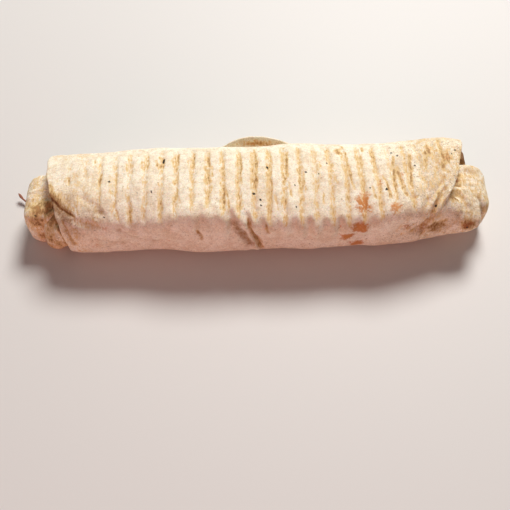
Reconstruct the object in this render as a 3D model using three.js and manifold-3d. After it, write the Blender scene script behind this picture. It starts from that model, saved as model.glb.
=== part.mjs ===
// A grilled doner wrap, lying flat. One sheet of flatbread is rolled round its filling and pressed between
// ribbed hot plates: the roll is flattened, and the ribs leave a row of grooves across its top.
//
// The sheet is one piece of bread, so the wrap is one solid:
//   outer turn    the last turn of the sheet, open at both ends like a sleeve, its two side edges slanting
//   loose tail    the rounded end of the sheet, which comes up the back and stands a little way off it
//   pleat         a fold that runs down the front, near the middle
//   tucked ends   the inner turns, folded shut, which stick out of the sleeve at the left and at the right
//
// Frame: millimetres, +X along the wrap to its right end, +Y to its back, +Z up. The wrap rests on z = 0.
// Angles run round the roll's section: 0 at the back, 90 on top, 180 at the front, 270 underneath.
import * as THREE from "three";
import { mergeVertices } from "three/addons/utils/BufferGeometryUtils.js";
import Module from "manifold-3d";

// Driving dimensions.
const LENGTH = 316; // tip to tip of the tucked ends
const HEIGHT = 49.5; // pressed thickness at the middle
const HALF_WIDTH = 34.5; // of the roll, at the middle
const SHEET = 1.8; // thickness of the flatbread
const RIBS = 25; // of the hot plate
const RIB_PITCH = 10.07;

// How the roll's section is divided: in even steps of so many degrees between two angles, with points on
// both sides of them up to the seam, and then up the tail's outer side and down its inner side.
const STEP = 10;
const SECTION = { evenFrom: STEP, evenTo: 220, pointsBefore: 3, pointsAfter: 5, tailOuter: 4, tailInner: 3 };

// Where it is divided beyond the outermost grooves, as shares of the way to the tips.
const BEYOND = { left: [0.7, 0.3], right: [0.3, 0.6] };

// The roll: how it leans back along its length, drops and narrows to its ends, and swells at each side.
const LEAN = { y: -0.2, slope: 0.015 };
const END_DROP = { fall: 2.5, middle: 20, reach: 140 };
const FRONT_NARROWING = { fall: 3.6, middle: 15, reach: 145 };
const BACK_NARROWING = { fall: 1.6, middle: 15, reach: 145 };
const FRONT_SWELL = { rise: 0.7, pitch: 73, crest: -33 };
const BACK_SWELL = { rise: 0.8, pitch: 93, crest: -61 };
const FRONT_WAIST = { fall: 2.4, x: -80, halfLength: 42 };
const FRONT_TAPER = { fall: 6, from: 78, to: 134 };

// How square the section is. The front edge of the pressed top is squarer, but it is round near both ends:
// it goes from round to square at the left, and from square to round at the right.
const POWER = 3;
const FRONT_EDGE = { power: 4.4, roundPower: 2.6, left: [-135, -45], right: [76, 130] };

// Grooves that the ribs leave, between two angles.
const GROOVE = { middle: -3.9, depth: 1.3, halfWidth: 2.3, back: [32, 52], front: [128, 150] };

// Pleat on the front, from its top to its foot. It rises most at a share of the way down.
const PLEAT = { topX: -12.8, topAngle: 137, footX: 0, footAngle: 202, halfWidth: 3.6, rise: 1.8 };
const PLEAT_CREST = { at: 0.55, reach: 0.75 };

// The right end's back corner, where the outer turn lifts off the turn inside it.
const LIFTED_CORNER = { rise: 3.2, x: 125, halfLength: 22, angle: 55, halfTurn: 70 };

// The sheet's end is an arc: it crosses the back at the middle, and curves down under the roll on both sides.
const SEAM = { angle: 348, drop: 45, reach: 140 };

// The loose tail at the middle of that end: where its rim stands, and the turn from its root to the seam.
// The belly is where its outer side bends, as shares of the way from its root to its rim, in y and in z.
const TAIL = { halfLength: 47, y: 45, z: 34.5, turn: 23, gap: 2.5, roundness: 1.3 };
const TAIL_BELLY = { y: 0.8, z: 0.3 };

// The pocket inside the tail ends so many degrees before the seam: where the tail starts, and at its middle.
const POCKET_TURN = [3, 12];

// The outer turn's side edges lie furthest out at one angle, and furthest in on the other side of the roll.
// The left edge's back corner is rounded off: it is drawn in most between the two pairs of angles.
const LEFT_EDGE = { x: -134, slant: -7.6, angle: 33, corner: 4.5 };
const RIGHT_EDGE = { x: 124, slant: 15.8, angle: 27, corner: 0 };
const CORNER = { from: [-100, -30], to: [18, 42] };

// Inside each edge is a pocket. Its floor is the domed shoulder of the turns inside: each pair is how deep
// the floor lies, and at what share of the way out from the roll's middle.
const FLOOR = [
  [1, 0.45],
  [2.5, 0.75],
  [5.5, 1],
];

// Tucked ends: lobes of folded bread. Higher powers are blunter, in plan and from the side.
const TIP = LENGTH / 2;
const LOBES = [
  { x: 32 - TIP, y: -0.8, z: 15, half: [32, 19.8, 18], plan: 5.5, side: 5 }, // left tuck
  { x: -122, y: -11, z: 13, half: [23, 18, 23], plan: 5, side: 2.2 }, // the turn round it
  { x: TIP - 34.5, y: 2.4, z: 16, half: [34.5, 19.9, 20], plan: 5.5, side: 3.7 }, // right tuck
  { x: 118, y: 25, z: 19, half: [28, 7, 17], plan: 5, side: 3 }, // flap behind it
  { x: 129.6, y: -14, z: 26, half: [18.4, 18, 12.5], plan: 3.3, side: 2 }, // fold that lies over it
  { x: 112, y: -8, z: 23, half: [24, 17, 19], plan: 4, side: 3 }, // gathers that run into the fold
];
const LOBE_GRID = [20, 14]; // faces round a lobe and from end to end
const WELD = 1e-4; // points closer than this are one

const radians = THREE.MathUtils.degToRad;
const mix = THREE.MathUtils.lerp;
const smooth = THREE.MathUtils.smoothstep;

// A smooth bump: 1 at the middle, 0 at the half width and beyond.
function bump(offset, halfWidth) {
  const share = Math.min(1, Math.abs(offset) / halfWidth);
  return (1 - share * share) ** 2;
}

// --- The pressed roll ---

const towardsEnds = (x, { fall, middle, reach }) => fall * ((x - middle) / reach) ** 4;
const swell = (x, { rise, pitch, crest }) => rise * Math.cos((2 * Math.PI * (x - crest)) / pitch);

// The half widths and the half height of the section at a place along the wrap.
function rollSize(x) {
  const taper = FRONT_TAPER.fall * smooth(x, FRONT_TAPER.from, FRONT_TAPER.to);
  const waist = FRONT_WAIST.fall * bump(x - FRONT_WAIST.x, FRONT_WAIST.halfLength);
  return {
    front: HALF_WIDTH - towardsEnds(x, FRONT_NARROWING) + swell(x, FRONT_SWELL) - taper - waist,
    back: HALF_WIDTH - towardsEnds(x, BACK_NARROWING) + swell(x, BACK_SWELL),
    half: (HEIGHT - towardsEnds(x, END_DROP)) / 2,
    middleY: LEAN.y + LEAN.slope * x,
  };
}

// A point of the section at an angle, moved out along the surface's normal.
function rollPoint(x, angle, out = 0) {
  const size = rollSize(x);
  const c = Math.cos(radians(angle));
  const s = Math.sin(radians(angle));
  const width = c > 0 ? size.back : size.front;
  const squareness = smooth(x, ...FRONT_EDGE.left) * (1 - smooth(x, ...FRONT_EDGE.right));
  const frontPower = mix(FRONT_EDGE.roundPower, FRONT_EDGE.power, squareness);
  const power = c < 0 && s > 0 ? frontPower : POWER;
  const reach = (Math.abs(c / width) ** power + Math.abs(s / size.half) ** power) ** (-1 / power);
  const normal = new THREE.Vector2(
    (Math.sign(c) * Math.abs((reach * c) / width) ** (power - 1)) / width,
    (Math.sign(s) * Math.abs((reach * s) / size.half) ** (power - 1)) / size.half,
  ).normalize();
  return new THREE.Vector2(
    size.middleY + reach * c + normal.x * out,
    size.half + reach * s + normal.y * out,
  );
}

const seamAngle = (x) => SEAM.angle - SEAM.drop * (x / SEAM.reach) ** 2;

// The sheet winds outwards by its own thickness over one turn, from the seam round to the seam again.
function winding(x, angle) {
  const turned = angle > seamAngle(x) ? angle - 360 : angle;
  return (SHEET * (turned + 360 - seamAngle(x))) / 360;
}

function grooveAt(x, angle) {
  const rib = Math.round((x - GROOVE.middle) / RIB_PITCH);
  if (Math.abs(rib) > (RIBS - 1) / 2) return 0;
  const onTop = smooth(angle, ...GROOVE.back) * (1 - smooth(angle, ...GROOVE.front));
  return GROOVE.depth * onTop * bump(x - GROOVE.middle - rib * RIB_PITCH, GROOVE.halfWidth);
}

function pleatAt(x, angle) {
  const along = (angle - PLEAT.topAngle) / (PLEAT.footAngle - PLEAT.topAngle);
  const middle = mix(PLEAT.topX, PLEAT.footX, along);
  return PLEAT.rise * bump(x - middle, PLEAT.halfWidth) * bump(along - PLEAT_CREST.at, PLEAT_CREST.reach);
}

function liftAt(x, angle) {
  const { rise, x: middle, halfLength, angle: middleAngle, halfTurn } = LIFTED_CORNER;
  return rise * bump(x - middle, halfLength) * bump(angle - middleAngle, halfTurn);
}

// How far the outer turn's surface stands off the plain roll.
function relief(x, angle) {
  return winding(x, angle) - grooveAt(x, angle) + pleatAt(x, angle) + liftAt(x, angle);
}

// --- The loose tail ---

// 1 where the tail stands highest, 0 where the sheet's end lies flat on the roll.
function tailShare(x) {
  const share = Math.min(1, Math.abs(x) / TAIL.halfLength);
  return (1 - share * share) ** TAIL.roundness;
}

// The angle at which the roll's surface comes out from under the sheet's end, and that of the tail's root.
const pocketAngle = (x) => seamAngle(x) - mix(...POCKET_TURN, tailShare(x));
const rootAngle = (x) => seamAngle(x) - TAIL.turn;

// The tail's section: up its outer side from the root, over the rim and down into the pocket inside it.
function tailSection(x) {
  const share = tailShare(x);
  const root = rollPoint(x, rootAngle(x), SHEET);
  const rim = rollPoint(x, seamAngle(x), SHEET).lerp(new THREE.Vector2(TAIL.y, TAIL.z), share);
  const bent = new THREE.Vector2(mix(root.x, rim.x, TAIL_BELLY.y), mix(root.y, rim.y, TAIL_BELLY.z));
  const belly = rollPoint(x, seamAngle(x) - TAIL.turn / 2, SHEET).lerp(bent, share);
  const outer = new THREE.QuadraticBezierCurve(root, belly, rim);
  const along = outer.getTangent(1);
  const inwards = new THREE.Vector2(-along.y, along.x);
  const rimInside = rim.clone().addScaledVector(inwards, SHEET);
  const pocket = rollPoint(x, pocketAngle(x));
  const halfway = rimInside.clone().add(pocket).divideScalar(2);
  const hollow = halfway.addScaledVector(inwards, -TAIL.gap * share);
  const inner = new THREE.QuadraticBezierCurve(rimInside, hollow, pocket);
  return [...outer.getPoints(SECTION.tailOuter), ...inner.getPoints(SECTION.tailInner)];
}

// --- The outer turn ---

// Stations along the wrap: both sides and the floor of each groove, and two beyond them at each end.
function stations() {
  const places = [];
  for (let rib = (1 - RIBS) / 2; rib <= (RIBS - 1) / 2; rib++) {
    const middle = GROOVE.middle + rib * RIB_PITCH;
    places.push(middle - GROOVE.halfWidth, middle, middle + GROOVE.halfWidth);
  }
  const left = BEYOND.left.map((share) => mix(places[0], -TIP, share));
  const right = BEYOND.right.map((share) => mix(places.at(-1), TIP, share));
  return [...left, ...places, ...right];
}

// Evenly spaced values between two others.
const between = (from, to, count) =>
  Array.from({ length: count }, (_, i) => mix(from, to, (i + 1) / (count + 1)));

// The section's points at a place along the wrap, round from the seam and over the tail. The steps are even
// over the back, the top and the front, and take up the seam's arc on each side of them.
function ringAt(x) {
  const { evenFrom, evenTo, pointsBefore, pointsAfter } = SECTION;
  const angles = [
    ...between(pocketAngle(x) - 360, evenFrom, pointsBefore),
    ...between(evenFrom - STEP, evenTo, (evenTo - evenFrom) / STEP),
    ...between(evenTo - STEP, rootAngle(x), pointsAfter),
  ];
  const points = angles.map((angle) => rollPoint(x, angle, relief(x, angle)));
  return [...points, ...tailSection(x)].map((point) => new THREE.Vector3(x, point.x, point.y));
}

// Joins a row of equal rings into one closed surface, with a fan at each end.
function skin(rings) {
  const count = rings[0].length;
  const points = rings.flat();
  const faces = [];
  const quad = (a, b, c, d) => faces.push(a, b, c, a, c, d);
  for (let i = 0; i + 1 < rings.length; i++) {
    for (let j = 0; j < count; j++) {
      const here = i * count;
      const next = (j + 1) % count;
      quad(here + j, here + next, here + count + next, here + count + j);
    }
  }
  const middleOf = (ring) => ring.reduce((sum, p) => sum.add(p), new THREE.Vector3()).divideScalar(count);
  points.push(middleOf(rings[0]), middleOf(rings.at(-1)));
  const last = (rings.length - 1) * count;
  for (let j = 0; j < count; j++) {
    const next = (j + 1) % count;
    faces.push(points.length - 2, next, j);
    faces.push(points.length - 1, last + j, last + next);
  }
  const geometry = new THREE.BufferGeometry().setFromPoints(points);
  geometry.setIndex(faces);
  return geometry;
}

const outerTurn = () => skin(stations().map(ringAt));

// --- The open ends ---

// Where a side edge lies at an angle.
function edgeAt(edge, angle) {
  const turned = THREE.MathUtils.euclideanModulo(angle + 180, 360) - 180;
  const rounding = edge.corner * smooth(turned, ...CORNER.from) * (1 - smooth(turned, ...CORNER.to));
  return edge.x + edge.slant * Math.cos(radians(angle - edge.angle)) - Math.sign(edge.x) * rounding;
}

// What is cut away at an end: all that lies beyond the sheet's slanting edge, and the pocket inside it.
function mouth(edge) {
  const side = Math.sign(edge.x);
  const ring = (depth, out, share = 1) => {
    const points = [];
    for (let angle = 0; angle < 360; angle += STEP) {
      const x = edgeAt(edge, angle);
      const point = rollPoint(x, angle, winding(x, angle) + out);
      const { half, middleY } = rollSize(x);
      points.push(
        new THREE.Vector3(x - side * depth, mix(middleY, point.x, share), mix(half, point.y, share)),
      );
    }
    return points;
  };
  const clear = HALF_WIDTH / 2;
  const rings = [
    ...FLOOR.map(([depth, share]) => ring(depth, -SHEET, share)),
    ring(0, -SHEET),
    ring(0, clear),
    ring(-HEIGHT, clear),
  ];
  return skin(side > 0 ? rings : rings.reverse());
}

// --- The tucked ends ---

// A blunt lobe: a sphere whose points are moved out on to a rounded box of the lobe's size.
function lobe({ x, y, z, half, plan, side }) {
  const geometry = new THREE.SphereGeometry(1, ...LOBE_GRID).rotateZ(Math.PI / 2);
  const place = geometry.getAttribute("position");
  const size = new THREE.Vector3(...half);
  const middle = new THREE.Vector3(x, y, z);
  for (let i = 0; i < place.count; i++) {
    const p = new THREE.Vector3().fromBufferAttribute(place, i);
    const flat = (Math.abs(p.x) ** plan + Math.abs(p.y) ** plan) ** (side / plan);
    const reach = (flat + Math.abs(p.z) ** side) ** (-1 / side);
    p.multiplyScalar(reach).multiply(size).add(middle);
    place.setXYZ(i, p.x, p.y, p.z);
  }
  return geometry;
}

// --- Joining it all into one solid ---

const wasm = await Module();
wasm.setup();

function solidFrom(geometry) {
  geometry.deleteAttribute("normal");
  geometry.deleteAttribute("uv");
  const merged = mergeVertices(geometry, WELD);
  const vertProperties = merged.getAttribute("position").array;
  const triVerts = new Uint32Array(merged.index.array);
  return new wasm.Manifold(new wasm.Mesh({ numProp: 3, vertProperties, triVerts }));
}

function geometryFrom(solid) {
  const mesh = solid.getMesh();
  const geometry = new THREE.BufferGeometry();
  geometry.setAttribute("position", new THREE.Float32BufferAttribute(mesh.vertProperties, 3));
  geometry.setIndex([...mesh.triVerts]);
  geometry.computeVertexNormals();
  return geometry;
}

// All that is under z = 0 is cut away, which leaves the pressed, flat underside that the wrap rests on.
function flatbreadRoll() {
  let solid = solidFrom(outerTurn());
  for (const edge of [LEFT_EDGE, RIGHT_EDGE]) solid = solid.subtract(solidFrom(mouth(edge)));
  for (const shape of LOBES) solid = solid.add(solidFrom(lobe(shape)));
  const under = new THREE.BoxGeometry(2 * LENGTH, LENGTH, HEIGHT).translate(0, 0, -HEIGHT / 2);
  return geometryFrom(solid.subtract(solidFrom(under)));
}

const bread = new THREE.MeshStandardMaterial({ color: 0xeedcb9, roughness: 0.85, metalness: 0 });
const roll = new THREE.Mesh(flatbreadRoll(), bread);
roll.name = "flatbread_roll";

const wrap = new THREE.Group();
wrap.add(roll);

export default wrap;
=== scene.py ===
"""A grilled doner wrap, lying flat: one sheet of flatbread, rolled, pressed between ribbed plates and
tucked in at both ends. Lengths are in millimetres until a mesh is made, and angles are in degrees round the
roll's section: 0 at the back, 90 on top, 180 at the front, 270 underneath.
"""

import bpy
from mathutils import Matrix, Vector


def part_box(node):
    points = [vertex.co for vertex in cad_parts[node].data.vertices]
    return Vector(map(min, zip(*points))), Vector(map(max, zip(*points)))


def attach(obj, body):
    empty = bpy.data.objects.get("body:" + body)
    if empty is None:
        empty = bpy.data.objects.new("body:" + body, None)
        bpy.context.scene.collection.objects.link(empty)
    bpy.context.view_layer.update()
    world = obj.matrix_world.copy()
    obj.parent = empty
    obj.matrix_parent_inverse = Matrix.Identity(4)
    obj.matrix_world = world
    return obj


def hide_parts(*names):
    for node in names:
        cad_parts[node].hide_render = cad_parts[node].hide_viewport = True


bl_info = {
    "name": "Doner Wrap",
    "version": (1, 0, 0),
    "blender": (4, 5, 0),
    "location": "View3D > Sidebar > Doner Wrap",
    "description": "Builds a grilled doner wrap, its tucked ends and a small studio round it",
    "category": "Add Mesh",
}

import math
from collections import namedtuple

import bpy
import numpy as np
from mathutils import Matrix, Vector

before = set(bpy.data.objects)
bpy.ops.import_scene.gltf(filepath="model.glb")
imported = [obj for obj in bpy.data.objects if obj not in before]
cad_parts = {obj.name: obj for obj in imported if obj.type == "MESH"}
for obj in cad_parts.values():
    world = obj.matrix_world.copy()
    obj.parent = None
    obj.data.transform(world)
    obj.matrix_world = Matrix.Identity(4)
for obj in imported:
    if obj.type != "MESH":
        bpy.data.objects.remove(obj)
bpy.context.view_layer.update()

NODE = "flatbread_roll"
BODY = "root"
MM = 0.001

# --- Sizes of the roll, the same as the solid has ---

LOW, HIGH = ([value / MM for value in corner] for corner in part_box(NODE))
TIP = (HIGH[0] - LOW[0]) / 2  # from the middle to either end's tip
HEIGHT = 49.5  # pressed thickness at the middle
HALF_WIDTH = 34.5  # at the middle
RIBS = 25  # of the hot plate

# A smooth drop or narrowing towards both ends: how far, from which middle, and the length it takes.
Fall = namedtuple("Fall", "fall middle reach")
END_DROP = Fall(2.5, 20, 140)
FRONT_NARROWING = Fall(3.6, 15, 145)
BACK_NARROWING = Fall(1.6, 15, 145)

# A gentle swelling and shrinking along a side.
Swell = namedtuple("Swell", "rise pitch crest")
FRONT_SWELL = Swell(0.7, 73, -33)
BACK_SWELL = Swell(0.8, 93, -61)

# A single bulge or hollow in the length.
Bulge = namedtuple("Bulge", "rise x half_length")
FRONT_WAIST = Bulge(-2.4, -80, 42)

# A change from nothing to all along the length.
Ramp = namedtuple("Ramp", "start end")
FRONT_TAPER = Ramp(78, 134)
FRONT_TAPER_FALL = 6

# The roll's middle line lies a little askew.
LEAN_Y = -0.2
LEAN_SLOPE = 0.015

# How square the section is: more so at the front edge of the pressed top, but rounder there at both ends.
POWER = 3
FRONT_POWER = 4.4
ROUND_FRONT_POWER = 2.6
LEFT_ROUND_TO_SQUARE = Ramp(-116, -14)
RIGHT_ROUND_TO_SQUARE = Ramp(130, 76)

# The sheet's end is an arc, which crosses the back at the middle and runs down under the roll.
SEAM_ANGLE = 348
SEAM_DROP = 45
SEAM_REACH = 140
TAIL_HALF_LENGTH = 47
TAIL_RIM = (45, 34.5)  # y and z of the rim at the middle
TAIL_TURN = 23  # from the tail's root to the seam
TAIL_ROUNDNESS = 1.3
TAIL_BELLY = 2.5

# The outer turn's two side edges. Each lies furthest out at one angle and furthest in across the roll, and
# has some tongues, which stick out further, or less far where their rise is below nought.
Edge = namedtuple("Edge", "side x slant angle tongues")
Tongue = namedtuple("Tongue", "rise angle half_turn")
LEFT = Edge(-1, -134, -7.6, 33, (Tongue(-5, 5, 42),))
RIGHT = Edge(1, 124, 15.8, 27, (Tongue(2, -3, 38), Tongue(-1.8, 70, 26), Tongue(3, 122, 50)))

EDGE_APART = 30.0  # far enough from each other for each edge to wander in its own way

# The corner at the right end's back, where the outer turn lifts off the one inside it.
LIFTED_CORNER = Bulge(3.2, 125, 22)
LIFTED_ANGLE = 55
LIFTED_HALF_TURN = 70

# --- What is drawn on the outer turn, by its place along the wrap and its angle ---

# A fold or wrinkle: its path, depth (below nought for a raised one), half width, how toasted it is, how
# much painted shade darkens it, and how much lower the bread lies on its left.
Crease = namedtuple("Crease", "path depth width toast dusk step", defaults=(0, 0))
OUTER_CREASES = (
    # The pleat down the front: a raised fold between a sharp crease and a soft valley, both toasted and
    # darkened with painted shade.
    Crease(((-8.0, 144), (-7.0, 156), (-4.6, 170), (-1.0, 188), (2.5, 206)), 2.3, 1.5, 0.7, 0.7),
    Crease(((-6.2, 164), (-3.0, 176), (0.4, 190)), 1.0, 2.2, 0.35, 0.55),
    Crease(((-11.5, 143), (-10, 155), (-7.0, 170), (-3.6, 188), (-0.8, 206)), -1.9, 2.7, 0.0),
    Crease(((-18.5, 145), (-15.5, 157), (-11, 171), (-7.0, 184), (-4.5, 198)), 1.5, 3.4, 0.2, 0.8),
    # The left end: the edge laps over the bread in front of it, along a crease that starts at the edge.
    Crease(((-139, 100), (-133.5, 120), (-128, 132), (-123, 139), (-117.5, 145)), 0.3, 1.2, 1.0, 1.0, 1.5),
    Crease(((-137.5, 104), (-132, 119), (-126, 131), (-118.5, 141)), 0, 2.4, 0.6, 0.8),
    Crease(((-136, 118), (-132, 129), (-127, 137), (-119, 144)), 0, 3.4, 0.2, 1.0),
    Crease(((-119, 144), (-113, 148.5), (-107, 151), (-101, 155)), 0.6, 1.6, 0.5),
    Crease(((-119, 112), (-112, 123), (-105, 133), (-99, 144)), 0.7, 2.6, 0.25),
    Crease(((-130, 138), (-128.3, 152), (-126.3, 170), (-125, 190)), -0.5, 1.4, 0.0),
    Crease(((-128, 144), (-125.5, 156), (-123, 172), (-121.5, 186)), 0.5, 1.6, 0.6, 0.6),
    Crease(((-122, 146), (-114, 152), (-104, 156)), 0.6, 1.6, 0.35),
    # The right end: wrinkles that fan out from the tucked corner.
    Crease(((126.5, 112), (124.5, 122), (121, 132), (117, 142), (112, 155), (108, 168)), -0.9, 1.5, 0.0),
    Crease(((122.5, 116), (117, 134), (109, 160), (100, 184)), 1.2, 2.0, 0.5, 0.3),
    Crease(((122, 106), (112, 130), (103, 152)), 0.8, 1.7, 0.3),
    Crease(((120, 112), (115, 132), (107, 156)), -0.8, 1.6, 0.0),
    Crease(((125, 118), (119, 140), (111, 164)), -0.9, 1.7, 0.0),
    Crease(((118, 150), (110, 168), (104, 182)), -0.9, 1.8, 0.0),
    Crease(((117, 158), (111, 172), (106, 192)), 1.1, 1.3, 0.8, 0.8),
    Crease(((114, 152), (106, 166), (97, 180)), 0.9, 1.4, 0.6, 0.5),
    Crease(((102, 160), (97, 172), (91, 184)), 0.6, 1.6, 0.35),
    Crease(((96, 150), (92, 162), (88, 178)), 0.4, 1.6, 0.25),
    # Small folds below the front edge.
    Crease(((-95, 151), (-87, 161), (-77, 173), (-65, 186)), 0.7, 2.6, 0.12, 0.35),
    Crease(((-90, 150), (-80, 163), (-68, 176)), -0.5, 3.0, 0.0),
    Crease(((-110, 168), (-98, 176), (-84, 190)), 0.4, 2.0, 0.1, 0.25),
    Crease(((-41.5, 158), (-39, 166), (-37.5, 174)), 0.6, 1.3, 0.5, 0.5),
    Crease(((3.5, 149), (4.0, 156), (6.0, 162)), 0.8, 1.3, 0.5, 0.5),
)

# A soft area of painted shade, in a dusky brown: its place, half length, half width round the roll and
# strength.
Shade = namedtuple("Shade", "x angle half_x half_arc strength")
SHADES = (
    Shade(-125.5, 143, 11, 11, 0.8),
    Shade(-121, 160, 12, 12, 0.35),
    Shade(-112, 153, 12, 6, 0.3),
    Shade(-105, 138, 17, 10, 0.45),
    Shade(-122, 122, 9, 12, 0.35),
    Shade(-10.5, 166, 6, 14, 0.35),
    Shade(-14, 155, 6, 8, 0.3),
    Shade(108, 176, 14, 13, 0.6),
    Shade(119, 192, 12, 12, 0.5),
    Shade(98, 166, 9, 9, 0.35),
    Shade(64, 172, 10, 20, 0.2),
    Shade(134, 60, 5, 10, 0.4),
)

# The back is made slightly darker than the pressed top, up to these angles.
BACK_DUSK = 0.24
BACK_DUSK_END = Ramp(30, 62)

# A thin line that a rib's edge toasted: its path, half width, how toasted it is and how far it is dented.
Line = namedtuple("Line", "path width toast dent", defaults=(0.35,))
TOASTED_LINES = (
    Line(((-137.5, 84), (-135, 102), (-130.5, 117), (-125.5, 129)), 1.8, 0.8, 0.2),
    Line(((-131.5, 104), (-127, 119), (-121.5, 132), (-116, 140)), 2.0, 0.6, 0.2),
    Line(((-122, 150), (-119, 162), (-117, 178)), 2.4, 0.35, 0.2),
    Line(((-124.8, 80), (-124.2, 96)), 0.9, 0.9, 0.7),
    Line(((-114.5, 65), (-113.5, 88)), 1.6, 0.35),
    Line(((-108.9, 50), (-108.0, 63)), 0.9, 0.6, 0.5),
    Line(((-104.3, 50), (-103.7, 78)), 0.9, 0.45),
    Line(((-103.7, 76), (-103.5, 105)), 1.2, 1.0, 0.6),
    Line(((-103.5, 100), (-102.8, 134)), 1.2, 0.6),
    Line(((-96.8, 75), (-96.3, 122)), 1.5, 0.3, 0.1),
    Line(((-93.8, 55), (-93.3, 100), (-92.8, 130), (-90.5, 149)), 1.0, 0.65, 0.6),
    Line(((-87.3, 60), (-86.0, 78)), 0.9, 0.65),
    Line(((-83.3, 62), (-83.0, 84)), 0.9, 0.55),
    Line(((-84.5, 122), (-83.5, 149)), 2.3, 0.6, 0.2),
    Line(((-83.9, 127), (-83.4, 144)), 0.7, 0.8),
    Line(((-77.0, 57), (-76.0, 76)), 1.0, 0.7),
    Line(((-73.2, 52), (-73.0, 76)), 1.0, 0.65),
    Line(((-73.5, 80), (-73.0, 130)), 1.7, 0.3, 0.1),
    Line(((-67.4, 58), (-66.8, 71)), 1.2, 0.65),
    Line(((-62.7, 54), (-63.3, 76)), 0.9, 0.9, 0.8),
    Line(((-63.2, 80), (-63.0, 130)), 1.6, 0.3, 0.1),
    Line(((-57.0, 55), (-57.0, 66)), 1.6, 0.4),
    Line(((-53.2, 45), (-53.5, 71)), 1.1, 0.85, 0.5),
    Line(((-53.5, 72), (-53.5, 105), (-52.8, 118), (-51.0, 136)), 1.1, 0.6),
    Line(((-46.3, 58), (-46.3, 72)), 1.1, 0.5),
    Line(((-43.5, 45), (-43.0, 58), (-43.0, 80)), 1.1, 0.95, 0.5),
    Line(((-43.0, 84), (-43.2, 137)), 1.8, 0.4),
    Line(((-33.2, 51), (-33.0, 62), (-32.3, 77)), 1.2, 1.0, 0.6),
    Line(((-32.4, 76), (-32.8, 95), (-32.4, 115), (-33.0, 132)), 1.1, 0.75, 0.5),
    Line(((-31.0, 70), (-30.8, 90), (-31.3, 126)), 0.8, 0.45),
    Line(((-22.7, 60), (-22.8, 80)), 0.9, 0.8, 0.5),
    Line(((-24.3, 88), (-24.6, 116)), 1.2, 0.45),
    Line(((-22.8, 108), (-23.0, 125), (-23.2, 142)), 1.2, 1.0, 0.6),
    Line(((-22.0, 112), (-20.6, 128), (-19.8, 142)), 0.8, 0.75),
    Line(((-25.5, 110), (-24.9, 144)), 0.9, 0.5),
    Line(((-12.5, 47), (-12.2, 62), (-12.0, 78), (-12.4, 94)), 1.0, 0.9, 0.6),
    Line(((-14.1, 76), (-13.6, 100), (-13.2, 122)), 0.9, 0.5),
    Line(((-11.8, 93), (-11.7, 109)), 0.8, 0.65),
    Line(((-13.3, 112), (-13.6, 146)), 1.0, 0.75, 0.5),
    Line(((-12.0, 118), (-11.6, 141)), 0.8, 0.5),
    Line(((-2.2, 40), (-1.8, 58), (-2.0, 85), (-2.6, 105), (-3.0, 124)), 1.5, 0.9, 0.6),
    Line(((-4.2, 60), (-4.8, 90), (-4.4, 112)), 1.0, 0.45),
    Line(((-3.2, 122), (-4.2, 147)), 1.1, 0.45),
    Line(((8.0, 46), (8.2, 68), (7.7, 90), (7.9, 110), (7.3, 122), (7.2, 135)), 1.1, 0.75, 0.5),
    Line(((5.0, 66), (6.0, 84)), 1.2, 0.4),
    Line(((9.9, 120), (10.8, 130), (11.6, 138)), 0.9, 0.65, 0.5),
    Line(((18.8, 47), (18.5, 60), (18.2, 80), (18.4, 99)), 1.3, 0.9, 0.6),
    Line(((15.8, 96), (17.6, 100)), 1.3, 0.95),
    Line(((19.0, 102), (20.3, 126)), 0.9, 0.6),
    Line(((15.5, 116), (15.5, 146)), 2.0, 0.5, 0.3),
    Line(((27.4, 50), (27.8, 88), (28.6, 122)), 1.7, 0.5),
    Line(((28.4, 88), (29.9, 119)), 0.9, 0.65),
    Line(((37.4, 48), (38.0, 122)), 2.4, 0.35, 0.2),
    Line(((40.0, 66), (40.0, 84)), 0.9, 0.55),
    Line(((40.2, 119), (41.4, 134)), 0.9, 0.65),
    Line(((47.4, 68), (48.4, 90), (50.2, 112)), 1.3, 0.5),
    Line(((57.0, 45), (58.0, 60), (58.5, 80), (59.5, 97), (61.4, 120)), 1.2, 0.85, 0.6),
    Line(((57.5, 74), (57.0, 95), (57.5, 127)), 1.1, 0.5),
    Line(((56.8, 39), (57.0, 46)), 1.0, 0.7),
    Line(((70.1, 43), (69.8, 54)), 1.1, 0.8),
    Line(((67.8, 56), (68.2, 66), (67.5, 85), (68.5, 105), (67.5, 120)), 1.4, 0.6),
    Line(((77.5, 84), (78.3, 104)), 1.4, 0.45),
    Line(((77.6, 114), (78.0, 141)), 1.1, 0.65),
    Line(((80.5, 97), (82.5, 112), (84.0, 125), (84.2, 134)), 1.0, 0.95, 0.6),
    Line(((73.0, 114), (74.6, 132)), 0.9, 0.55),
    Line(((89.5, 60), (89.0, 80), (88.7, 95), (88.0, 112), (88.0, 137)), 1.3, 0.95, 0.6),
    Line(((90.5, 78), (91.5, 95), (92.3, 112), (93.6, 125), (96.0, 133)), 1.6, 1.0, 0.6),
    Line(((96.0, 132), (99.0, 133), (102.5, 131)), 1.2, 0.95),
    Line(((101.6, 53), (100.5, 72), (99.5, 85), (99.5, 105), (98.8, 124)), 1.3, 0.95, 0.6),
    Line(((111.2, 54), (110.0, 72), (109.8, 92)), 1.4, 0.95, 0.6),
    Line(((113.8, 50), (113.0, 69)), 1.7, 0.95),
    Line(((121.6, 41), (121.0, 58), (122.3, 75), (120.4, 99)), 1.5, 1.0, 0.9),
    Line(((124.2, 61), (124.6, 84)), 2.0, 0.9),
    Line(((118.0, 108), (116.0, 130), (112.0, 150)), 1.3, 0.75, 0.4),
    Line(((52.4, 47), (54.8, 57)), 3.0, 0.95, 0.2),
    Line(((112.0, 48), (114.5, 60)), 3.0, 0.8, 0.2),
    Line(((123.5, 60), (125.5, 80)), 3.0, 0.8, 0.2),
)

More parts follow.
